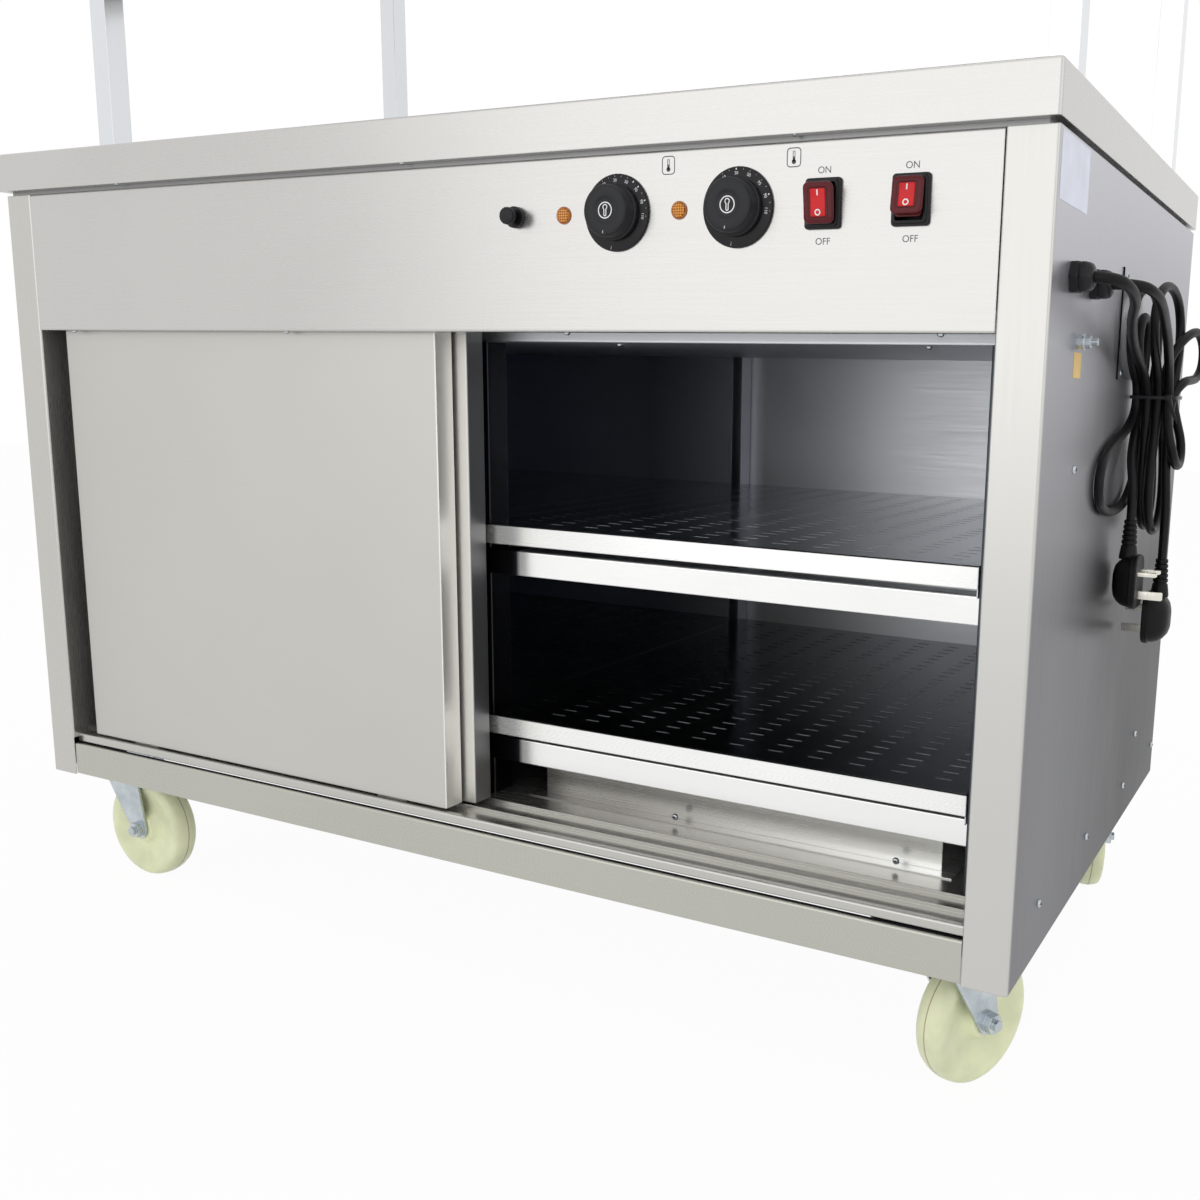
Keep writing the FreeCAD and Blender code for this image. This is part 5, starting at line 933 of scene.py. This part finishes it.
def plug(name, end, turn):
    """Moulded plug with a domed back, ribbed tapering relief and three pins to one side."""
    at = Matrix.Translation(end) @ Matrix.Rotation(radians(turn), 4, "Z")
    piece = Piece(name + "_moulding", at)
    relief = [(RELIEF_TIP, 0.0002)]
    for index in range(RELIEF_RIBS):
        start = RELIEF_LENGTH * RELIEF_RIBBED * index / RELIEF_RIBS
        width = RELIEF_WIDTH + RELIEF_GROWTH * index
        relief += [(width - less, -start - further) for less, further in RELIEF_RIB]
    relief += [(RELIEF_NECK, -RELIEF_LENGTH * 0.75), (RELIEF_FOOT, -RELIEF_LENGTH - 0.001),
               (RELIEF_FOOT, -RELIEF_LENGTH - 0.004)]
    piece.turned(relief, rubber)
    middle = -RELIEF_LENGTH - PLUG_HEIGHT / 2
    moulding = at @ Matrix(((0, 0, 1, 0), (1, 0, 0, 0), (0, 1, 0, middle), (0, 0, 0, 1)))
    piece.at = moulding
    face = PLUG_THICKNESS / 2
    layers = []
    for inset, depth in PLUG_ROWS:
        outline = rounded(PLUG_WIDTH - inset * 2, PLUG_HEIGHT - inset * 2, PLUG_RADIUS - inset / 2, 8)
        layers.append((outline, face - depth))
    piece.stack(layers, rubber, strips=True)
    for across, up, width, tall, reach in PLUG_PINS:
        piece.at = moulding @ Matrix.Translation((across, up, 0))
        pin = rounded(width, tall, 0.0004)
        tip = rounded(width - PIN_TIP, tall - PIN_TIP, 0.0003)
        piece.stack([(pin, face - PIN_ROOT), (pin, face + reach - PIN_TIP), (tip, face + reach)], pin_metal,
                    strips=True)
    return piece.place("cabinet", "black_rubber", [name])


def cord(name, route, moulding, replaced):
    """A cord as one smooth curve along its route."""
    data = bpy.data.curves.new(name, "CURVE")
    data.dimensions = "3D"
    spline = data.splines.new("NURBS")
    spline.points.add(len(route) - 1)
    for point, place in zip(spline.points, route):
        point.co = (*place, 1)
    spline.order_u = 3
    spline.use_endpoint_u = True
    spline.resolution_u = 8
    data.bevel_depth = CORD_DIAMETER / 2
    data.bevel_resolution = 5
    data.materials.append(rubber)
    piece = make(name, data)
    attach(piece, "cabinet")
    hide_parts(*replaced)


def cords():
    cord("front_cord", FRONT_ROUTE, plug("plug_front", FRONT_ROUTE[-1], 0),
         ["cord_front_lead", "cord_front_tail", "cord_hank"])
    cord("rear_cord", REAR_ROUTE, plug("plug_rear", REAR_ROUTE[-1], 180),
         ["cord_rear_lead", "cord_rear_tail", "cord_hank"])


def wheels():
    """Moulded wheels with rounded treads, recessed webs and hubs, turned about their axles."""
    profile = [*WHEEL_HALF, *((diameter, -height) for diameter, height in reversed(WHEEL_HALF))]
    for joint in frame["joints"]:
        if not joint["name"].endswith("_roll"):
            continue
        body = joint["child"]
        turn = Vector(joint["axis"]).to_track_quat("Z", "Y").to_matrix().to_4x4()
        piece = Piece(body + "_tread", Matrix.Translation(joint["pos_m"]) @ turn)
        piece.turned(profile, nylon, closed=True, steps=ROUND_FINE)
        piece.turned(WHEEL_SEAM, parting, closed=True, steps=ROUND_FINE)
        piece.place(body, "nylon", [body])


def sheet(piece, across, along, missing, top, thickness, finish):
    """A flat sheet in cells between sorted cuts, some of them missing, with walls round each hole."""
    kept = {(i, j) for i in range(len(across) - 1) for j in range(len(along) - 1) if not missing(i, j)}
    corners, faces, known = [], [], {}

    def corner(i, j, below):
        key = (i, j, below)
        if key not in known:
            known[key] = len(corners)
            corners.append((across[i], along[j], top - thickness if below else top))
        return known[key]

    for i, j in sorted(kept):
        cell = [(i + a, j + b) for a, b in ((0, 0), (1, 0), (1, 1), (0, 1))]
        for below in (False, True):
            faces.append(tuple(corner(*place, below) for place in cell))
        for side, (a, b) in enumerate(((0, -1), (1, 0), (0, 1), (-1, 0))):
            if (i + a, j + b) not in kept:
                one, other = cell[side], cell[(side + 1) % 4]
                faces.append((corner(*one, False), corner(*other, False), corner(*other, True),
                              corner(*one, True)))
    piece.add(corners, faces, finish)


def cuts(edges, slots, width):
    """Places along a sheet, in order, each with what begins there."""
    starts = [(place - width / 2, "slot") for place in slots]
    ends = [(place + width / 2, None) for place in slots]
    return sorted(edges + starts + ends, key=lambda cut: cut[0])


def boards(name, node, top_finish):
    """Both half boards of a shelf: slotted sheets with folded edges, notched round the uprights."""
    low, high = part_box(node)
    across = cuts([(BOARD_SEAM, None), (NOTCH_REACH, None), (high.x, None)],
                  [SLOT_LAST - SLOT_PITCH_X * index for index in range(SLOT_COLUMNS)], SLOT_LENGTH)
    along = cuts([(low.y, None), (NOTCHES[0][0], "notch"), (NOTCHES[0][1], None), (NOTCHES[1][0], "notch"),
                  (high.y, None)],
                 [SLOT_FRONT + SLOT_PITCH_Y * index for index in range(SLOT_ROWS)], SLOT_WIDTH)

    def missing(i, j):
        if across[i][0] < NOTCH_REACH - BOARD_GAUGE / 10 and along[j][1] == "notch":
            return True
        return across[i][1] == "slot" and along[j][1] == "slot"

    edges = ((BOARD_SEAM, high.x, low.y, low.y + BOARD_GAUGE, BOARD_FRONT_DROP, flange_painted_highlight),
             (high.x - BOARD_GAUGE, high.x, low.y + BOARD_GAUGE, high.y, BOARD_SIDE_DROP, steel_inside))
    piece = Piece(name)
    for way in (-1, 1):
        half = Matrix.Scale(way, 4, (1, 0, 0))
        piece.at = half
        sheet(piece, [place for place, _ in across], [place for place, _ in along], missing, high.z,
              BOARD_GAUGE, top_finish)
        for left, right, near, far, drop, finish in edges:
            piece.at = half @ Matrix.Translation(((left + right) / 2, (near + far) / 2, 0))
            piece.block(rounded(right - left, far - near, BOARD_GAUGE / 4, 2), high.z - drop,
                        high.z - BOARD_GAUGE / 100, finish)
    piece.place("cabinet", "stainless_steel", [node])


def area_light(name, place, target, size, power):
    data = bpy.data.lights.new(name, "AREA")
    data.shape = "RECTANGLE"
    data.size, data.size_y = size
    data.energy = power
    light = make(name, data)
    light.location = place
    light.rotation_mode = "QUATERNION"
    light.rotation_quaternion = (Vector(target) - Vector(place)).to_track_quat("-Z", "Y")


def room():
    """A white background and an even soft light from all round."""
    world = bpy.data.worlds.new("room")
    bpy.context.scene.world = world
    nodes = Tree(world)
    mix = nodes.node("ShaderNodeMixShader")
    nodes.link(nodes.to_eye(), mix.inputs["Fac"])
    for index, strength in ((1, ROOM_LIGHT), (2, 1.0)):
        background = nodes.node("ShaderNodeBackground", {"Color": (1, 1, 1, 1), "Strength": strength})
        nodes.link(background.outputs["Background"], mix.inputs[index])
    nodes.link(mix.outputs["Shader"], nodes.tree.nodes["World Output"].inputs["Surface"])


def floor():
    """Pale floor, mostly white to the eye, that still takes the object's shadow."""
    mesh = bpy.data.meshes.new("floor")
    corners = [(x * FLOOR_REACH, y * FLOOR_REACH, 0) for x, y in ((-1, -1), (1, -1), (1, 1), (-1, 1))]
    mesh.from_pydata(corners, [], [(0, 1, 2, 3)])
    item = make("floor", mesh)
    shader = Shader("floor", (0.92, 0.92, 0.92), 0.8)
    shader.set("Specular IOR Level", 0.1)
    glow = shader.node("ShaderNodeEmission")
    mix = shader.node("ShaderNodeMixShader")
    shader.link(shader.calculate("MULTIPLY", shader.to_eye(), FLOOR_WHITE), mix.inputs["Fac"])
    shader.link(shader.surface.outputs["BSDF"], mix.inputs[1])
    shader.link(glow.outputs["Emission"], mix.inputs[2])
    shader.link(mix.outputs["Shader"], shader.tree.nodes["Material Output"].inputs["Surface"])
    mesh.materials.append(shader.material)


def studio():
    """A wide soft box in front, a weak one on the right and one above."""
    area_light("key", (-0.5, -3.4, 1.35), (0.1, 0, 0.6), (3.6, 2.5), 20)
    area_light("fill", (3.0, -1.2, 1.4), (0.3, 0, 0.5), (1.6, 2.0), 6)
    area_light("top", (0.2, 0.2, 3.2), (0, 0, 0), (3.0, 2.4), 14)
    room()
    floor()


make_camera()
finish_nodes()
dial_rings()
for name, place in zip(("knob_left", "knob_right"), KNOB_PLACES):
    knob(name, place)
lamp_lenses()
reset_cap()
switch_surrounds()
rocker("rocker_main", SWITCH_PLACES[0], False)
rocker("rocker_lights", SWITCH_PLACES[1], True)
printed_signs()
screws()
side_details()
glands()
tie()
cords()
wheels()
boards("upper_boards", "upper_shelf_boards", shelf_upper_painted_shade)
boards("lower_boards", "lower_shelf_boards", shelf_lower_painted_deep_shade)
studio()
